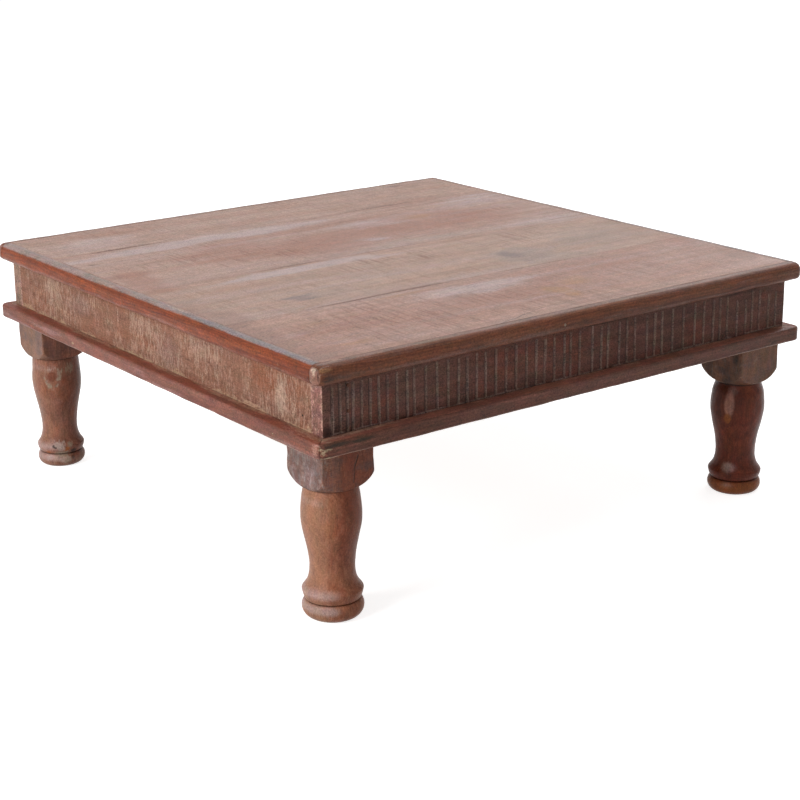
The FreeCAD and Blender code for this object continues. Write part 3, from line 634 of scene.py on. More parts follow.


# Frieze, front and back. Two boards stand on edge under the top, and run through to the corners.
# Short upright grooves cut with a V tool leave a row of reeds, spaced by eye. A pale line, partly dust
# and partly painted highlight, lies along the right wall of each groove, which faces the lamp, and
# painted shade along its left.
reed_width = 0.0136
groove_half_width = 0.0015
groove_depth = 0.0014
groove_margin = 0.0035
reed_shares = (
    0.86, 0.67, 0.62, 0.45, 0.77, 0.74, 0.77, 0.76, 0.85, 0.92, 0.62, 1.04, 1.04, 1.01, 0.95, 0.85,
    0.86, 0.86, 0.98, 0.98, 0.99, 1.04, 0.92, 0.84, 1.00, 1.04, 0.61, 0.92, 1.35, 0.92, 0.67, 1.23,
    0.86, 0.85, 1.29, 0.83, 0.83, 1.17, 1.22, 1.29, 1.04, 1.10, 0.79, 0.86, 1.16, 1.04, 0.74, 0.86,
    1.10, 0.92,
)
for side_name, way in (("front", -1), ("back", 1)):
    node = "frieze_" + side_name
    low, high = corners(node)
    grooves = low[0] + np.cumsum(reed_shares) * reed_width
    grooves = grooves[grooves < high[0] - 2 * groove_half_width]
    offsets = groove_half_width * np.array([-1.9, -1.25, -1, -0.5, 0, 0.35, 0.7, 1, 1.25])
    run = [lines(low[0], high[0], 0.5)[:3], lines(low[0], high[0], 0.5)[-3:]]
    run += [groove + offsets for groove in grooves]
    middles = np.concatenate([[low[0] + 0.002], grooves, [high[0] - 0.002]])
    run += [left + (right - left) * np.array([0.35, 0.5, 0.68])
            for left, right in zip(middles[:-1], middles[1:])]
    run = np.unique(np.round(np.concatenate(run), 6)) * -way
    levels = [lines(low[2], high[2] - 0.016, 0.002), np.linspace(high[2] - 0.015, high[2], 12)]
    levels = np.unique(np.round(np.concatenate(levels), 6))
    points, faces = box_surface(np.sort(run), lines(low[1], high[1], 0.003), levels)
    face_y = low[1] if way < 0 else high[1]
    on_face = np.abs(points[:, 1] - face_y) < 1e-6
    turned = points[:, 0] * -way
    points = ease(points, low, high, 0.0007 * hollows(points, (0.02, 0.02, 0.02), 53, 2))
    chance = np.random.default_rng(5)
    cut, dust_and_highlight, shaded = (np.zeros(len(points)) for _ in range(3))
    for groove in grooves:
        lowered = 0.008 if groove > 0.21 and chance.random() < 0.45 else 0
        stop = high[2] - groove_margin - chance.uniform(0, 0.002) - lowered
        deep = groove_depth * chance.uniform(0.75, 1.0)
        lean = chance.uniform(-0.012, 0.012)
        paleness = chance.uniform(0.70, 1.05)
        across = (turned - groove - lean * (points[:, 2] - low[2])) / groove_half_width
        fade = 1 - ramp(points[:, 2], stop - 0.003, stop)
        cut = np.maximum(cut, deep * np.clip(1 - np.abs(across), 0, 1) * fade)
        dust_and_highlight = np.maximum(dust_and_highlight, paleness * ramp(across, -0.8, -0.25) * (1 - ramp(across, 0.9, 1.4)) * fade)
        shaded = np.maximum(shaded, ramp(across, -2.0, -1.1) * (1 - ramp(across, -0.9, -0.5)) * fade)
    points[:, 1] -= way * on_face * (cut + 0.00025 * hollows(points, (0.012, 0.5, 0.03), 61, 3))
    rise = points[:, 2] - low[2]
    marks = spots(points, (
        ("dust", (-0.309 * -way, face_y, 0.212), (0.004, 0.01, 0.010), 0.6),
        ("dark", (-0.312 * -way, face_y, 0.206), (0.010, 0.01, 0.005), 0.9),
        ("dark", (0.04 * -way, face_y, 0.2515), (0.035, 0.01, 0.0025), 0.8),
        ("dark", (0.24 * -way, face_y, 0.2500), (0.030, 0.01, 0.0035), 0.7),
    ))
    # A pale line along the right wall of each groove, partly dust and partly painted highlight
    marks["dust"] += dust_and_highlight * on_face * (0.85 + 0.25 * uneven(points, (0.02, 0.02, 0.009), 71, 3))
    marks["dust"] += 0.8 * on_face * (1 - ramp(rise, 0.0008, 0.0024)) * hollows(points, (0.012, 9, 9), 75, 2)
    # Painted shade along the left wall of each groove
    marks["dark"] += 0.75 * shaded * on_face
    reed = np.searchsorted(grooves, turned)
    reed_colour = chance.uniform(-1, 1, len(grooves) + 1)[reed]
    marks["dark"] += 0.22 * on_face * np.clip(reed_colour, 0, 1)
    foot = 1 - ramp(rise, 0.0018, 0.0042 + 0.0014 * uneven(points, (0.014, 0.02, 9), 67, 2))
    marks["dark"] += 0.45 * on_face * foot
    blotches = uneven(points, (0.05, 9, 0.02), 69, 3) - 0.5 * np.clip(reed_colour, -1, 0)
    marks["red"] = on_face * np.clip(0.15 + 0.5 * blotches, 0, 1)
    ends = np.abs(points[:, 0]) > high[0] - 0.0005
    to_rim = np.minimum(points[:, 1] - low[1], high[1] - points[:, 1])
    rim = 1 - ramp(to_rim + 0.0009 * uneven(points, (9, 9, 0.007), 77, 2), 0.0006, 0.0022)
    marks["ends"] = 0.85 * ends
    marks["pale"] = ends * (0.50 * rim + 0.15 + 0.45 * uneven(points, (0.006, 0.004, 0.005), 73, 3))
    ends_colour = rgb(130, 90, 80) if way < 0 else rgb(146, 116, 100)
    finish = wood("reeded_" + side_name, "x", (rgb(74, 46, 40), rgb(120, 84, 72)), (0.1 * way, 0.1), 0.006,
                  (0.15, 1.0, 0.5, 0.6, 1.3, 3.4), (0.15, 0.5, 0.7), 0.6, 11.0 + way,
                  (("red", rgb(112, 58, 44), 0.6, 0.7), ("ends", ends_colour, 0.9, 0.5),
                   ("dark", rgb(48, 30, 26), 0.85, 0.6), ("dust", rgb(142, 119, 109), 0.85, 0.25),
                   ("pale", rgb(192, 150, 134), 0.85, 1.2)))
    make_piece("reeded_board_" + side_name, points, faces, finish, "reeded_wood", [node], sharp=32, **marks)


# Frieze, left and right. Two plain boards fit between the reeded ones. They were left rough from the
# saw, and pale dust has settled in the saw marks and along the foot of the board.
for side_name, way in (("left", -1), ("right", 1)):
    node = "frieze_" + side_name
    low, high = corners(node)
    points, faces = box_surface(lines(low[0], high[0], 0.004), lines(low[1], high[1], 0.0011, 0.0008),
                                lines(low[2], high[2], 0.0024, 0.0008))
    face_x = low[0] if way < 0 else high[0]
    on_face = np.abs(points[:, 0] - face_x) < 1e-6
    points = ease(points, low, high, 0.0006)
    mirrored = points * [1, -way, 1]
    strokes = uneven(mirrored, (9.0, 0.0018, 0.012), 83, 2)
    groups = uneven(mirrored, (9.0, 0.009, 0.045), 87, 3)
    patches = ramp(uneven(mirrored, (9.0, 0.045, 0.030), 89, 3), -0.5, 0.6)
    points[:, 0] -= way * on_face * 0.00020 * np.maximum(1 + strokes, 0) * (0.35 + 0.65 * patches)
    rise = points[:, 2] - low[2]
    drift = 0.0015 + 0.0040 * uneven(mirrored, (9, 0.03, 9), 97, 3)
    marks = spots(mirrored, (
        ("plum", (-0.32, 0.155, 0.232), (0.5, 0.030, 0.015), 0.75),
        ("plum", (-0.32, -0.040, 0.222), (0.5, 0.030, 0.020), 0.75),
        ("plum", (-0.32, -0.130, 0.245), (0.5, 0.050, 0.008), 0.40),
        ("plum", (-0.32, 0.270, 0.240), (0.5, 0.020, 0.012), 0.40),
        ("rust", (-0.32, -0.250, 0.232), (0.5, 0.060, 0.020), 0.70),
        ("rust", (-0.32, 0.250, 0.215), (0.5, 0.030, 0.020), 0.60),
        ("rust", (-0.32, 0.060, 0.248), (0.5, 0.060, 0.006), 0.50),
        ("dust", (-0.32, -0.253, 0.222), (0.5, 0.010, 0.022), 0.45),
        ("dust", (-0.32, -0.100, 0.235), (0.5, 0.040, 0.012), 0.25),
        ("dust", (-0.32, 0.205, 0.235), (0.5, 0.050, 0.015), 0.25),
        ("dust", (-0.32, 0.010, 0.238), (0.5, 0.040, 0.012), 0.25),
    ) if way < 0 else ())
    for name in ("plum", "rust", "dust"):
        marks[name] = marks.get(name, 0.0) * on_face
    settled = 0.18 + 0.14 * ramp(strokes, -0.4, 1.0) * patches + 0.12 * patches + 0.12 * groups
    marks["dust"] += on_face * settled
    marks["crust"] = on_face * 0.75 * (1 - ramp(rise, drift - 0.002, drift + 0.003))
    near_end = ramp(-mirrored[:, 1], 0.10, 0.28)
    marks["sawn"] = on_face * (0.22 + 0.22 * patches + 0.18 * near_end)
    marks["rust"] += on_face * np.clip(0.20 + 0.4 * uneven(mirrored, (9, 0.06, 0.02), 91, 3), 0, 1)
    finish = wood("scored_" + side_name, "y", (rgb(112, 72, 56), rgb(156, 114, 94)), (0.1 * way, 0.1), 0.007,
                  (0.1, 0.8, 0.5, 0.9, 0.6, 2.0), (0.15, 0.6, 0.8), 0.8, 17.0 + way,
                  (("rust", rgb(138, 84, 60), 0.7, 0.6), ("plum", rgb(130, 98, 90), 0.65, -0.6),
                   ("dust", rgb(180, 152, 134), 0.8, -0.6), ("crust", rgb(176, 144, 118), 0.85, 1.8)),
                  (rgb(116, 80, 66), 0.0016, 0.0075))
    make_piece("scored_board_" + side_name, points, faces, finish, "frieze_wood", [node], **marks)


# Base moulding. A flat frame of four strips, mitred at the corners, stands out like a ledge under
# the frieze and is nailed up into it. Its lower arris is rubbed pale, and its front left corner is
# chipped down to the yellow wood.
moulding_low, moulding_high = corners("base_moulding_front")
moulding_half = np.array([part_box("base_moulding_right")[1][0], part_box("base_moulding_back")[1][1]])
moulding_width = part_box("base_moulding_left")[1][0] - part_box("base_moulding_left")[0][0]
moulding_corner = 0.010
moulding_top_round = 0.003
moulding_bottom_round = 0.0026
frieze_half = np.array([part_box("frieze_front")[1][0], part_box("frieze_back")[1][1]])
mitre_gap = 0.0001
moulding_spots = (
    ("chip", (-0.3325, -0.3372, 0.1950), (0.0035, 0.0040, 0.0025), 0.65),
    ("chip", (-0.3310, -0.3380, 0.1895), (0.0030, 0.0040, 0.0020), 0.55),
    ("chip", (-0.3240, -0.3385, 0.1925), (0.0050, 0.004, 0.0012), 0.55),
    ("chip", (-0.3240, -0.3385, 0.1842), (0.0120, 0.005, 0.0012), 0.7),
    ("blush", (-0.3350, -0.3310, 0.1920), (0.004, 0.0050, 0.0070), 0.7),
    ("dark", (-0.3160, -0.3385, 0.1955), (0.0140, 0.004, 0.0020), 1.1),
    ("chip", (-0.3350, -0.260, 0.189), (0.004, 0.0015, 0.002), 0.8),
    ("chip", (-0.3350, 0.150, 0.190), (0.004, 0.002, 0.002), 0.7),
    ("dark", (-0.2850, -0.3385, 0.1950), (0.022, 0.005, 0.0022), 0.8),
    ("dark", (-0.2550, -0.3385, 0.1900), (0.002, 0.004, 0.0015), 0.7),
    ("dark", (0.2900, -0.3385, 0.190), (0.012, 0.004, 0.005), 0.6),
    ("crust", (-0.3240, -0.3150, 0.1995), (0.0060, 0.0450, 0.003), 0.55),
    ("crust", (-0.2900, -0.3270, 0.1995), (0.0400, 0.0040, 0.003), 0.60),
    ("blush", (-0.3280, -0.2900, 0.1995), (0.0060, 0.0300, 0.003), 0.35),
)
for strip in ("front", "back", "left", "right"):
    node = "base_moulding_" + strip
    length_axis = 0 if strip in ("front", "back") else 1
    way = -1 if strip in ("front", "left") else 1
    half_length = moulding_half[length_axis]
    near_end = half_length - np.linspace(0, moulding_corner, 10)
    middle_lines = np.linspace(-near_end[-1], near_end[-1], 280)[1:-1]
    share = np.concatenate([-near_end, middle_lines, near_end[::-1]]) / half_length
    inward = np.concatenate([np.linspace(0, moulding_corner, 12), np.linspace(0.012, moulding_width, 10)])
    levels = np.linspace(moulding_low[2], moulding_high[2], 17)
    across = np.sort(way * (moulding_half[1 - length_axis] - inward))
    axes = (share, across) if length_axis == 0 else (across, share)
    points, faces = box_surface(axes[0], axes[1], levels)
    depth = moulding_half[1 - length_axis] - way * points[:, 1 - length_axis]
    points[:, length_axis] *= half_length - depth - mitre_gap
    points = nosed(points, moulding_half, moulding_corner, (moulding_low[2], moulding_high[2]),
                   moulding_top_round * (1 + 0.2 * uneven(points, (0.03, 0.03, 9), 101, 2)),
                   moulding_bottom_round * (1 + 0.2 * uneven(points, (0.03, 0.03, 9), 103, 2)))
    outward = normals_of(points, faces)
    outer_side = depth < moulding_width - 0.001
    points -= outward * (0.0002 * outer_side * hollows(points, (0.02, 0.02, 0.006), 107, 3))[:, None]
    is_side = length_axis == 1
    on_ledge = ramp(outward[:, 2], 0.8, 0.98)
    marks = spots(points, moulding_spots, 0.001, 105)
    to_board = frieze_half[1 - length_axis] - way * points[:, 1 - length_axis]
    foot_line = -0.0030 - 0.0040 * uneven(points, (0.04, 0.04, 9), 109, 3)
    by_board = ramp(to_board, foot_line - 0.002, foot_line + 0.003)
    marks["crust"] += (0.6 if is_side else 0.4) * on_ledge * by_board
    marks["deep"] = on_ledge * (0.75 - 0.35 * uneven(points, (0.05, 0.05, 9), 113, 2))
    arris = ramp(-outward[:, 2], 0.15, 0.5) * (1 - ramp(-outward[:, 2], 0.6, 0.9))
    marks["rubbed"] = arris * (0.75 + 0.35 * uneven(points, (0.03, 0.03, 9), 115, 3))
    upright = 1 - ramp(np.abs(outward[:, 2]), 0.3, 0.7)
    marks["deep"] += 0.45 * upright * ramp(uneven(points, (0.08, 0.08, 0.004), 117, 3), 0.0, 0.9)
    marks["bloom"] = upright * is_side * ramp(uneven(points, (0.07, 0.07, 0.006), 119, 3), -0.1, 0.9)
    if is_side:
        tones = (rgb(102, 56, 44), rgb(138, 88, 74))
        deep, rubbed = rgb(138, 78, 60), rgb(166, 130, 116)
    else:
        tones = (rgb(72, 42, 34), rgb(116, 74, 60))
        deep, rubbed = rgb(150, 96, 80), rgb(150, 118, 100)
    finish = wood("moulding_" + strip, "y" if is_side else "x", tones, (way * 0.35, 0.15), 0.004,
                  (0.15, 1.1, 1.5, 1.0, 1.4, 2.6), (0.20, 0.42, 0.62), 0.5, 23.0 + length_axis,
                  (("deep", deep, 0.8, 0.5), ("bloom", rgb(146, 112, 106), 0.6, 0.8),
                   ("crust", rgb(176, 140, 118), 0.7, 1.3), ("rubbed", rubbed, 0.85, 0.5),
                   ("blush", rgb(186, 138, 124), 0.7, 1.0), ("chip", rgb(184, 164, 134), 0.85, 2.6),
                   ("dark", rgb(44, 34, 26), 0.8, 0.8)))
    make_piece("moulding_strip_" + strip, points, faces, finish, "moulding_wood", [node], **marks)


# Legs. Each is turned from a square blank: a foot ring, a groove and a bead, a vase, and a head left
# square above a rounded shoulder. A post stands up from the head inside the frieze. They are waxed,
# so they shine softly. Highlights are painted on the bead, the foot ring and the vase, and shade is
# painted under the head and on the side away from the lamp. The back left foot is the most worn.
leg_blank = 0.062
leg_arris = 0.0015
head_height = 0.0258
shoulder_height = 0.0177
shoulder_bulge_rise = 0.0054
shoulder_radii = (0.0323, 0.0392, 0.0450)
neck_drop = 0.0016
neck_radius = 0.0276
foot_flat_radius = 0.021
foot_ring = (0.0311, 0.0120)
groove_at = (0.0266, 0.0197)
groove_width = 0.0018
groove_lip = 0.0017
bead_radius = 0.0306
bead_middle = (0.0297, 0.0240)
vase_foot_height = 0.0284
vase_shares = (
    (0.016, 0.997), (0.044, 0.928), (0.071, 0.859), (0.101, 0.810), (0.139, 0.770), (0.180, 0.748),
    (0.235, 0.741), (0.289, 0.752), (0.370, 0.788), (0.452, 0.843), (0.534, 0.905), (0.615, 0.961),
    (0.686, 0.988), (0.751, 0.992), (0.806, 0.977), (0.860, 0.956), (0.915, 0.940), (0.960, 0.922),
)
leg_top = moulding_low[2]
# Each leg's side along X and Y, how full its foot and its neck are and how far it draws in under the
# head, how high its foot and its head came out, and its dark and light tone
legs = {
    "front_left": ((-1, -1), (1.01, 1.01, 0.0008), (1.0, 1.0), (rgb(122, 70, 50), rgb(172, 114, 88))),
    "front_right": ((1, -1), (0.99, 1.035, 0.0026), (0.88, 1.16), (rgb(76, 30, 18), rgb(120, 60, 42))),
    "back_left": ((-1, 1), (0.91, 0.995, 0.0), (0.86, 1.04), (rgb(112, 70, 55), rgb(154, 106, 88))),
    "back_right": ((1, 1), (0.97, 0.98, 0.001), (0.94, 1.02), (rgb(88, 46, 32), rgb(128, 76, 58))),
}
leg_spots = (
    # A pale pinkish stripe up the front right leg's vase
    ("pale_stripe", (0.2600, -0.3030, 0.112), (0.0058, 0.0058, 0.015), 1.3),
    ("dark", (0.2580, -0.3120, 0.168), (0.0040, 0.0060, 0.008), 0.5),
    ("dark", (0.2930, -0.3235, 0.162), (0.0080, 0.0040, 0.007), 0.45),
    ("stone", (0.2800, -0.3235, 0.166), (0.0060, 0.0040, 0.008), 0.4),
    ("ochre", (0.2595, -0.3015, 0.094), (0.0042, 0.0042, 0.007), 1.1),
    ("dark", (0.2590, -0.2990, 0.084), (0.005, 0.005, 0.007), 0.4),
    ("cream", (-0.3045, 0.2682, 0.0300), (0.0100, 0.0070, 0.0060), 0.85),
    ("cream", (-0.3000, 0.2668, 0.0250), (0.0050, 0.0045, 0.0040), 0.65),
    ("cream", (-0.3130, 0.2774, 0.0135), (0.0055, 0.0060, 0.0050), 0.75),
    ("dark", (-0.3091, 0.2721, 0.0292), (0.0020, 0.0022, 0.0034), 1.1),
    ("dark", (-0.3070, 0.2700, 0.0262), (0.0022, 0.0022, 0.0016), 0.8),
    ("ochre", (-0.2965, 0.2648, 0.0240), (0.0060, 0.0050, 0.0026), 1.2),
    ("ochre", (-0.3120, 0.2790, 0.0190), (0.0040, 0.0040, 0.0030), 0.8),
    ("stone", (-0.2893, 0.2633, 0.0310), (0.0055, 0.0040, 0.0060), 0.9),
    ("stone", (-0.3010, 0.2661, 0.0175), (0.0130, 0.0100, 0.0046), 0.95),
    ("cream", (-0.2957, 0.2642, 0.0100), (0.0100, 0.0080, 0.0042), 0.9),
    ("dark", (-0.2850, 0.2630, 0.0200), (0.0055, 0.0050, 0.0034), 0.9),
    ("dark", (-0.2875, 0.2630, 0.0120), (0.0030, 0.0030, 0.0040), 0.6),
    ("cream", (-0.3075, 0.2692, 0.1270), (0.0060, 0.0060, 0.0050), 0.5),
    ("stone", (-0.2841, 0.2630, 0.1250), (0.0070, 0.0060, 0.0080), 0.6),
    # Painted highlights on the front right leg's bead, foot ring and upper vase
    ("painted_sheen", (0.2623, -0.3038, 0.0335), (0.0095, 0.0095, 0.0062), 0.58),
    ("painted_sheen", (0.2602, -0.3040, 0.0120), (0.0085, 0.0085, 0.0045), 0.55),
    ("painted_sheen", (0.2636, -0.3042, 0.1270), (0.0075, 0.0075, 0.0080), 0.45),
)
# Where the knot in the back left leg faces and how high it sits, and the painted highlight near where each
# leg is fullest
knot_facing = math.radians(-37)
knot_height = 0.1170
belly_highlight_height = 0.127
leg_cracks = {
    "front_left": (((-0.2776, -0.3213, 0.173), (-0.2818, -0.3213, 0.161), 0.0013, 0.95),
                   ((-0.2818, -0.3213, 0.161), (-0.2840, -0.3213, 0.146), 0.0013, 0.85)),
}


def arc(first, second, third, count):
    """Points along the round stretch through three points."""
    (x1, y1), (x2, y2), (x3, y3) = first, second, third
    turn = 2 * (x1 * (y2 - y3) + x2 * (y3 - y1) + x3 * (y1 - y2))
    s1, s2, s3 = x1 * x1 + y1 * y1, x2 * x2 + y2 * y2, x3 * x3 + y3 * y3
    middle = ((s1 * (y2 - y3) + s2 * (y3 - y1) + s3 * (y1 - y2)) / turn,
              (s1 * (x3 - x2) + s2 * (x1 - x3) + s3 * (x2 - x1)) / turn)
    reach = math.hypot(x1 - middle[0], y1 - middle[1])
    start, half_way, end = (math.atan2(y - middle[1], x - middle[0]) for x, y in (first, second, third))
    full = 2 * math.pi
    swing = (end - start) % full
    if (half_way - start) % full > swing:
        swing -= full
    turns = [start + swing * k / count for k in range(count + 1)]
    return [(middle[0] + reach * math.cos(turn), middle[1] + reach * math.sin(turn)) for turn in turns]


def leg_outline(girths, foot_share, shoulder_top, neck_height):
    """Radius and height of the turned leg from the middle of its foot up to the top of its head."""
    foot_girth, neck_girth, pinch = girths
    shoulder_end = neck_height + neck_drop
    low_lip = (groove_at[0] + groove_lip, groove_at[1] * foot_share - groove_width / 2)
    high_lip = (groove_at[0] + groove_lip, groove_at[1] * foot_share + groove_width / 2)
    vase_foot = vase_foot_height * foot_share
    vase_reach = neck_height - vase_foot
    vase = np.array([(bead_radius, vase_foot)]
                    + [(bead_radius * r, vase_foot + h * vase_reach) for h, r in vase_shares]
                    + [(neck_radius, neck_height)])
    fine = np.linspace(0, len(vase) - 1, 110)
    spot = np.minimum(fine.astype(int), len(vase) - 2)
    part = (fine - spot)[:, None]
    around = np.vstack([2 * vase[0] - vase[1], vase, 2 * vase[-1] - vase[-2]])
    before, start, end, after = (around[spot + k] for k in range(4))
    vase = 0.5 * (2 * start + (end - before) * part + (2 * before - 5 * start + 4 * end - after) * part ** 2
                  + (3 * start - before - 3 * end + after) * part ** 3)
    rows = [(foot_flat_radius * k / 6, 0.0) for k in range(1, 6)]
    rows += arc((foot_flat_radius, 0.0), (foot_ring[0], foot_ring[1] * foot_share), low_lip, 22)
    rows += [(groove_at[0], groove_at[1] * foot_share)]
    rows += arc(high_lip, (bead_middle[0], bead_middle[1] * foot_share), (bead_radius, vase_foot), 10)[:-1]
    rows += [tuple(row) for row in vase]
    girth = [foot_girth + (neck_girth - foot_girth) * height / neck_height for _, height in rows]
    slim = [pinch * math.exp(-((neck_height - height) / 0.009) ** 2) for _, height in rows]
    rows = [(radius * share - less, max(height, 0.0))
            for (radius, height), share, less in zip(rows, girth, slim)]
    end_radius, bulge_radius, top_radius = shoulder_radii
    end_radius, bulge_radius = end_radius - pinch, bulge_radius - 0.8 * pinch
    rows += [(rows[-1][0] + (end_radius - rows[-1][0]) * k / 3, neck_height + neck_drop * k / 3)
             for k in (1, 2)]
    rows += arc((end_radius, shoulder_end), (bulge_radius, shoulder_end + shoulder_bulge_rise),
                (top_radius, shoulder_top), 26)
    rows += [(top_radius, shoulder_top + (leg_top - shoulder_top) * k / 16) for k in range(1, 17)]
    return np.array(rows)


for leg_number, (leg_name, (signs, girths, height_shares, tones)) in enumerate(legs.items()):
    node = "leg_" + leg_name
    low, high = corners(node)
    axis = np.array([(signs[k] * (max(abs(low[k]), abs(high[k])) - leg_blank / 2)) for k in (0, 1)])
    foot_share, head_share = height_shares
    shoulder_top = leg_top - head_height * head_share
    neck_height = shoulder_top - shoulder_height - neck_drop
    rows = leg_outline(girths, foot_share, shoulder_top, neck_height)
    quarter = np.degrees(np.arctan(np.tan(np.radians(45)) * np.linspace(-1, 1, 49)))
    corner_fill = 45 - np.array([0.35, 0.8, 1.3, 1.9])
    quarter = np.unique(np.concatenate([quarter, corner_fill, -corner_fill]))[:-1]
    angles = np.radians(np.concatenate([quarter + 90 * k for k in range(4)]))
    angle, radius = np.meshgrid(angles, rows[:, 0])
    height = np.repeat(rows[:, 1], len(angles))
    angle, radius = angle.ravel(), radius.ravel()
    seen_at = np.column_stack([np.cos(angle) * 0.03, np.sin(angle) * 0.03, height])
    half = leg_blank / 2 - 0.00025 * hollows(seen_at, (0.03, 0.03, 0.02), 211 + leg_number, 2)
    worn = leg_arris * (1 + 0.6 * uneven(seen_at, (0.02, 0.02, 0.012), 223 + leg_number, 2))
    cosine, sine = np.abs(np.cos(angle)), np.abs(np.sin(angle))
    to_side = half / np.maximum(cosine, sine)
    corner = half - worn
    reach = corner * (cosine + sine)
    to_round = reach + np.sqrt(np.maximum(reach ** 2 - 2 * corner ** 2 + worn ** 2, 0))
    in_round = np.minimum(cosine, sine) * to_side > corner
    square = np.where(in_round, to_round, to_side)
    blend = 0.0006
    mixed = np.clip(0.5 + (square - radius) / (2 * blend), 0, 1)
    size = square * (1 - mixed) + radius * mixed - blend * mixed * (1 - mixed)
    dents = 0.00018 * hollows(seen_at, (0.012, 0.012, 0.01), 227 + leg_number, 3)
    size = np.where(height > 0, size - dents, size)
    points = np.column_stack([axis[0] + size * np.cos(angle), axis[1] + size * np.sin(angle), height])
    count, last = len(angles), len(rows) - 1
    grid = np.arange(len(points)).reshape(len(rows), count)
    after = np.roll(grid, -1, axis=1)
    faces = np.stack([grid[:-1], after[:-1], after[1:], grid[1:]], axis=-1).reshape(-1, 4)
    points = np.vstack([points, [[axis[0], axis[1], 0.0], [axis[0], axis[1], leg_top]]])
    bottom, top = len(points) - 2, len(points) - 1
    pairs = np.arange(0, count, 2)
    under = np.stack([np.full(len(pairs), bottom), grid[0][(pairs + 2) % count],
                      grid[0][(pairs + 1) % count], grid[0][pairs]], axis=-1)
    over = np.stack([np.full(len(pairs), top), grid[last][pairs], grid[last][(pairs + 1) % count],
                     grid[last][(pairs + 2) % count]], axis=-1)
    faces = np.concatenate([faces, under, over])
    inner_x = sorted((signs[0] * (abs(axis[0]) - leg_blank / 2), signs[0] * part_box("frieze_right")[0][0]))
    inner_y = sorted((signs[1] * (abs(axis[1]) - leg_blank / 2), signs[1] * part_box("frieze_back")[0][1]))
    post_low = np.array([inner_x[0], inner_y[0], leg_top])
    post_high = np.array([inner_x[1], inner_y[1], high[2]])
    post, post_faces = box_surface(*(lines(post_low[k], post_high[k], 0.008, 0.0008) for k in range(3)))
    post = ease(post, post_low, post_high, 0.0008)
    faces = np.concatenate([faces, post_faces + len(points)])
    on_leg = np.arange(len(points)) < len(mixed)
    points = np.vstack([points, post])
    on_leg = np.concatenate([on_leg, np.zeros(len(post), dtype=bool)])
    levels = points[:, 2]
    squareness = np.ones(len(points))
    squareness[on_leg] = 1 - mixed
    rounded = np.zeros(len(points))
    rounded[on_leg] = in_round * (mixed < 0.5)
    out_x, out_y = points[:, 0] - axis[0], points[:, 1] - axis[1]
    outness = np.maximum(np.hypot(out_x, out_y), 1e-9)
    facing_left = ramp((-out_x - 0.25 * np.abs(out_y)) / outness, 0.1, 0.85)
    facing_front = ramp((-out_y + 0.45 * out_x) / outness, 0.50, 0.95)
    vase = 1 - ramp(levels, neck_height - 0.001, neck_height + 0.001)
    marks = spots(points, leg_spots, 0.0008, 205)
    on_head = levels > neck_height + neck_drop
    marks["rubbed"] = 0.7 * (1 - np.abs(2 * squareness - 1)) * on_head + 0.25 * rounded
    marks["dark"] += 0.75 * (1 - ramp(np.abs(levels - groove_at[1] * foot_share), 0.0004, 0.0013))
    # Painted shade in a thin band right under the head's shoulder
    marks["dark"] += 0.5 * (1 - ramp(np.abs(levels - neck_height - 0.0004), 0.0008, 0.0022))
    foot_wear = (1 - ramp(levels, 0.004, 0.030)) * uneven(points, (0.016, 0.016, 0.012), 233 + leg_number, 3)
    marks["dust"] = 0.7 * np.clip(foot_wear, 0, 1)
    # A paler beige on the side of the vase that faces the left lamp: partly the wood and partly painted
    # highlight
    marks["tan"] = 0.9 * facing_left * vase
    marks["plum"] = 0.9 * facing_left * (1 - vase)
    marks["dark"] += 0.30 * facing_left * (1 - vase) * hollows(points, (0.010, 0.010, 0.010), 251, 3)
    low_part = 1 - ramp(levels, 0.045, 0.085)
    # A darker, redder tone on the side of each leg that faces front and right, away from the left lamp:
    # partly the stain and partly painted shade. Less of it low down.
    marks["deep"] = facing_front * (0.85 - 0.3 * uneven(points, (0.03, 0.03, 0.05), 239 + leg_number, 2))
    marks["deep"] *= 1 - 0.6 * low_part
    marks["sawn"] = (1 - vase) * (0.3 + 0.5 * facing_left)
    # Painted highlights: soft bands round the foot ring, the bead and the belly of the vase, kept off the
    # side away from the lamp, and a faint painted highlight over the lower part. The front right leg has
    # painted highlight spots instead of the bands.
    crest = np.exp(-((levels - (foot_ring[1] + 0.0025) * foot_share) / 0.0045) ** 2)
    crest += 0.8 * np.exp(-((levels - (bead_middle[1] + 0.0065) * foot_share) / 0.005) ** 2)
    crest += 0.5 * np.exp(-((levels - belly_highlight_height) / 0.006) ** 2) * facing_left
    if leg_name != "front_right":
        marks["painted_sheen"] += 0.8 * crest * (1 - facing_front)
    marks["painted_sheen"] += 0.11 * low_part
    marks["frost"] = (1 - vase) * (0.06 + 0.32 * facing_left)
    marks["smoke"] = (1 - vase) * (0.35 + 0.55 * uneven(points, (0.016, 0.016, 0.010), 245 + leg_number, 3))
    marks["rust"] = vase * (0.25 + 0.6 * uneven(points, (0.012, 0.012, 0.025), 247 + leg_number, 3))
    if leg_name == "front_right":
        ring_top = np.exp(-((levels - 0.0155) / 0.002) ** 2)
        marks["ochre"] += 0.9 * (1 - ramp(levels, 0.010, 0.017)) + 0.5 * ring_top
        for missing in ("tan", "plum", "deep"):
            marks[missing] *= 0.0
        marks["olive"] = 0.9 * (1 - vase)
        marks["frost"] *= 0.5
        marks["rust"] *= 0.4
        marks["dark"] += 0.40 * vase * ramp(levels, 0.075, 0.12) * ramp(-out_x / outness, 0.1, 0.8)
    if leg_name == "back_left":
        marks["tan"] *= 0.5
        marks["plum"] *= 0.0
        marks["deep"] *= 0.5
        marks["olive"] = 0.9 * (1 - vase) * facing_left
        marks["frost"] *= 0.3
        marks["sawn"] *= 0.5
        marks["dark"] -= 0.2 * facing_left * (1 - vase)
        marks["dust"] += 0.35 * (1 - ramp(levels, 0.006, 0.018)) * facing_front
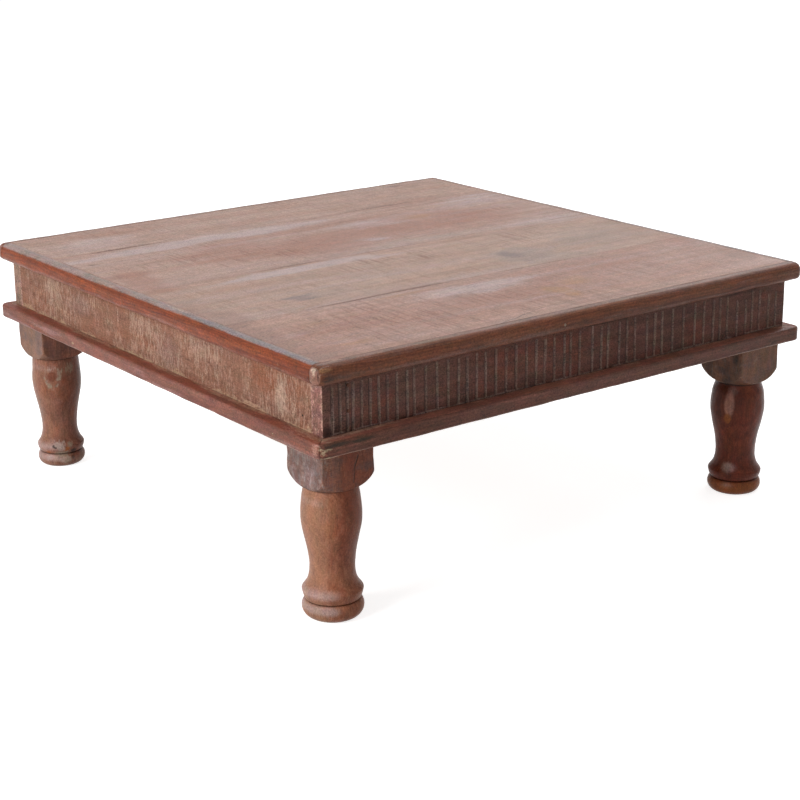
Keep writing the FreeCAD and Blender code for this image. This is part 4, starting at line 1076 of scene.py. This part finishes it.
        across = out_x * math.cos(knot_facing) + out_y * math.sin(knot_facing)
        bent = 0.0025 * uneven(points, (0.009, 0.009, 0.009), 243, 3)
        from_knot = np.where(out_y < 0, np.hypot(across, (levels - knot_height) * 0.85), 1.0)
        ring = np.exp(-((from_knot - 0.0090 + bent) / 0.0036) ** 2)
        lower = 0.45 + 0.55 * ramp(across - (levels - knot_height), -0.008, 0.006)
        marks["stone"] += 0.60 * ring * lower * hollows(points, (0.005, 0.005, 0.005), 249, 2)
        marks["umber"] = 0.9 * (1 - ramp(from_knot, 0.003, 0.008))
    leg_mottle, leg_grit = {"front_right": (1.5, 1.6), "back_left": (0.9, 1.5)}.get(leg_name, (1.0, 1.6))
    shaded_side_tone = tuple(share * part for share, part in zip((0.80, 0.58, 0.54), tones[0]))
    finish = wood("leg_" + leg_name, "z", tones, (axis[0] + 0.014, axis[1] + 0.02), 0.0045,
                  (0.25, 0.8, 0.6, 1.4, leg_mottle, leg_grit), (0.12, 0.28, 0.46), 0.4, 31.0 + leg_number,
                  (("rust", rgb(150, 84, 52), 0.5, 0.8), ("tan", rgb(160, 116, 92), 0.75, 0.7),
                   ("plum", rgb(116, 88, 82), 0.85, -0.7), ("olive", rgb(128, 92, 70), 0.8, -0.6),
                   ("deep", shaded_side_tone, 0.8, 0.6), ("smoke", rgb(98, 74, 70), 0.6, 0.9),
                   ("painted_sheen", rgb(182, 152, 144), 0.75, 0.25),
                   ("stone", rgb(152, 132, 114), 0.85, 1.2), ("umber", rgb(112, 62, 46), 0.8, 0.5),
                   ("pale_stripe", rgb(176, 124, 106), 0.95, 0.2), ("ochre", rgb(150, 88, 48), 0.8, 0.5),
                   ("cream", rgb(180, 156, 146), 0.8, 1.2), ("dust", rgb(160, 134, 118), 0.7, 0.6),
                   ("rubbed", rgb(164, 126, 106), 0.7, 0.7), ("frost", rgb(160, 144, 140), 0.8, 1.3),
                   ("dark", rgb(34, 18, 12), 0.85, 0.3)),
                  (rgb(84, 56, 48), 0.0016, 0.010), leg_cracks.get(leg_name, ()))
    make_piece("turned_leg_" + leg_name, points, faces, finish, "leg_wood", [node], sharp=50, **marks)


# Battens. Two raw sawn battens are nailed up across the planks inside the frieze, to hold them level.
for side_name in ("left", "right"):
    node = "batten_" + side_name
    low, high = corners(node)
    points, faces = box_surface(*(lines(low[k], high[k], 0.004, 0.001) for k in range(3)))
    points = ease(points, low, high, 0.001)
    finish = wood("batten_" + side_name, "y", (rgb(136, 98, 72), rgb(178, 142, 112)), (0.05, 0.1), 0.006,
                  (0.35, 0.8, 1.0, 0.6, 0.4, 0.6), (0.2, 0.6, 0.8), 0.8, 41.0,
                  (("dust", rgb(186, 160, 134), 0.6, 0.5),), (rgb(112, 78, 56), 0.0022, 0.03))
    make_piece("sawn_batten_" + side_name, points, faces, finish, "hidden_wood", [node], sawn=0.8,
               dust=0.35 * hollows(points, (0.03, 0.05, 0.03), 251, 2))


# Nails. Drawn iron wire nails with thin flat heads, dark and a little rusty. Those in the edging and
# the frieze are punched below the wood and stopped with filler, stained like the wood round it. One
# stopping has fallen out near the front left corner.
edging_nail_shares = (-0.86, -0.52, -0.176, -0.088, 0.34, 0.84)
frieze_nail_rises = (0.0144, 0.0400)
frieze_nail_stagger = 0.0065
nail_sink = 0.0011
nail_turns = 16
fallen_hole_radius = 0.0014


def spun(profile, place, inward):
    """A round solid from rows of depth under the place and radius, closed at both ends."""
    inward = np.array(inward, dtype=float)
    across = np.cross(inward, (0.0, 0.0, 1.0))
    up = np.cross(across, inward)
    angle = np.arange(nail_turns) / nail_turns * 2 * math.pi
    wheel = np.cos(angle)[:, None] * across + np.sin(angle)[:, None] * up
    points = np.concatenate([place + inward * depth + wheel * radius for depth, radius in profile])
    grid = np.arange(len(points)).reshape(len(profile), nail_turns)
    after = np.roll(grid, -1, axis=1)
    faces = [np.stack([grid[:-1], after[:-1], after[1:], grid[1:]], axis=-1).reshape(-1, 4)]
    points = np.vstack([points, place + inward * profile[0][0], place + inward * profile[-1][0]])
    pairs = np.arange(0, nail_turns, 2)
    for row, middle, turn in ((grid[0], len(points) - 2, 1), (grid[-1], len(points) - 1, -1)):
        fan = [np.full(len(pairs), middle)] + [row[(pairs + k) % nail_turns] for k in (2, 1, 0)]
        faces.append(np.stack(fan, axis=-1)[:, ::turn])
    return points, np.concatenate(faces)


def together(parts):
    """Several solids as one set of points and faces, with the number of each point's solid."""
    starts = np.cumsum([0] + [len(points) for points, _ in parts[:-1]])
    faces = np.concatenate([part_faces + start for (_, part_faces), start in zip(parts, starts)])
    owner = np.repeat(np.arange(len(parts)), [len(points) for points, _ in parts])
    return np.vstack([points for points, _ in parts]), faces, owner


iron = Finish("nail_iron")
iron_place = iron.step("TexCoord").outputs["Object"]
rust = iron.spread(iron.speckle(iron_place, 900, 4, 0.6), 0.45, 0.62)
iron_colour = iron.blend(rust, rgb(52, 46, 44), rgb(96, 58, 38))
iron_rough = iron.spread(rust, 0, 1, 0.4, 0.8)
iron_relief = iron.step("Bump", None, Strength=0.4, Distance=0.0002, Height=rust).outputs[0]
iron_shader = iron.step("BsdfPrincipled", None, Base_Color=iron_colour, Metallic=0.8, Roughness=iron_rough,
                        Normal=iron_relief)
iron.step("OutputMaterial", None, Surface=iron_shader.outputs[0])
for node in ("plank_nails", "moulding_nails", "batten_nails"):
    for material_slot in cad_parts[node].material_slots:
        material_slot.material = iron.material

stopping = Finish("stained_filler")
stopping_place = stopping.step("TexCoord").outputs["Object"]
grit = stopping.speckle(stopping_place, 1400, 3, 0.6)
stopping_colour = stopping.blend(grit, rgb(106, 58, 40), rgb(142, 90, 66))
for mark, mark_colour in (("front", rgb(98, 62, 48)), ("board", rgb(136, 96, 76)),
                          ("pale", rgb(170, 150, 132)), ("black", rgb(22, 16, 14))):
    stopping_colour = stopping.blend(stopping.mark(mark), stopping_colour, mark_colour)
stopping_rough = stopping.spread(grit, 0.3, 0.7, 0.55, 0.75)
stopping_relief = stopping.step("Bump", None, Strength=0.5, Distance=0.0002, Height=grit).outputs[0]
stopping_shader = stopping.step("BsdfPrincipled", None, Base_Color=stopping_colour, Roughness=stopping_rough,
                                Normal=stopping_relief)
stopping_shader.inputs["Specular IOR Level"].default_value = 0.2
stopping.step("OutputMaterial", None, Surface=stopping_shader.outputs[0])

plank_half = (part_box("top_plank_front")[1][0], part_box("top_plank_back")[1][1])
nosing_level = (edging_level[0] + nosing_bottom + edging_level[1] - nosing_top) / 2
edging_places = []
for share in edging_nail_shares:
    for way in (-1, 1):
        on_long = (-way * share * plank_half[0], way * edging_half[1], nosing_level)
        on_side = (way * edging_half[0], way * share * plank_half[1], nosing_level)
        edging_places += [(on_long, (0, -way, 0)), (on_side, (-way, 0, 0))]
frieze_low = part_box("frieze_front")[0][2]
frieze_places = []
for leg_name, (signs, *_) in legs.items():
    leg_low, leg_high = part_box("leg_" + leg_name)
    axis = [signs[k] * (max(abs(leg_low[k]), abs(leg_high[k])) - leg_blank / 2) for k in (0, 1)]
    for rise in frieze_nail_rises:
        level = frieze_low + rise
        frieze_places.append(((signs[0] * frieze_half[0], axis[1], level), (-signs[0], 0, 0)))
        staggered = (axis[0], signs[1] * frieze_half[1], level + frieze_nail_stagger)
        frieze_places.append((staggered, (0, -signs[1], 0)))

for set_name, places, slot, length, shank, head, thick in (
        ("edging", edging_places, "edging_wood", 0.024, 0.0011, 0.0020, 0.0008),
        ("frieze", frieze_places, "frieze_wood", 0.040, 0.0014, 0.0026, 0.0010)):
    under_head = nail_sink + thick
    nail_profile = [(nail_sink, head * 0.5), (nail_sink + thick * 0.15, head * 0.96), (under_head, head),
                    (under_head, shank), (length - 3 * shank, shank), (length, shank * 0.15)]
    plug_profile = [(0.00002, head * 0.35), (0.00008, head * 0.62), (0.00020, head * 0.78),
                    (nail_sink, head * 0.8)]
    points, faces, _ = together([spun(nail_profile, np.array(place), inward) for place, inward in places])
    nodes = [set_name + "_nails"]
    make_piece("iron_nails_" + set_name, points, faces, iron.material, "nail_iron", nodes, sharp=40)
    points, faces, owner = together([spun(plug_profile, np.array(place), inward) for place, inward in places])
    spot = np.array([place for place, _ in places])
    to_front = np.array([abs(inward[1]) for _, inward in places], dtype=float)
    fallen = (spot[:, 0] < -0.3) & (spot[:, 1] < -0.2) & (spot[:, 2] < 0.22) & (to_front == 0)
    bright = (np.abs(spot[:, 0] + 0.03) < 0.006) & (spot[:, 1] < -0.3)
    board = np.full(len(places), set_name == "frieze") * (1 - to_front)
    in_hole = np.hypot(*(points - spot[owner]).T[1:]) < fallen_hole_radius
    make_piece("filler_" + set_name, points, faces, stopping.material, slot, nodes,
               front=to_front[owner], board=board[owner], pale=0.6 * bright[owner],
               black=1.0 * fallen[owner] * in_hole)
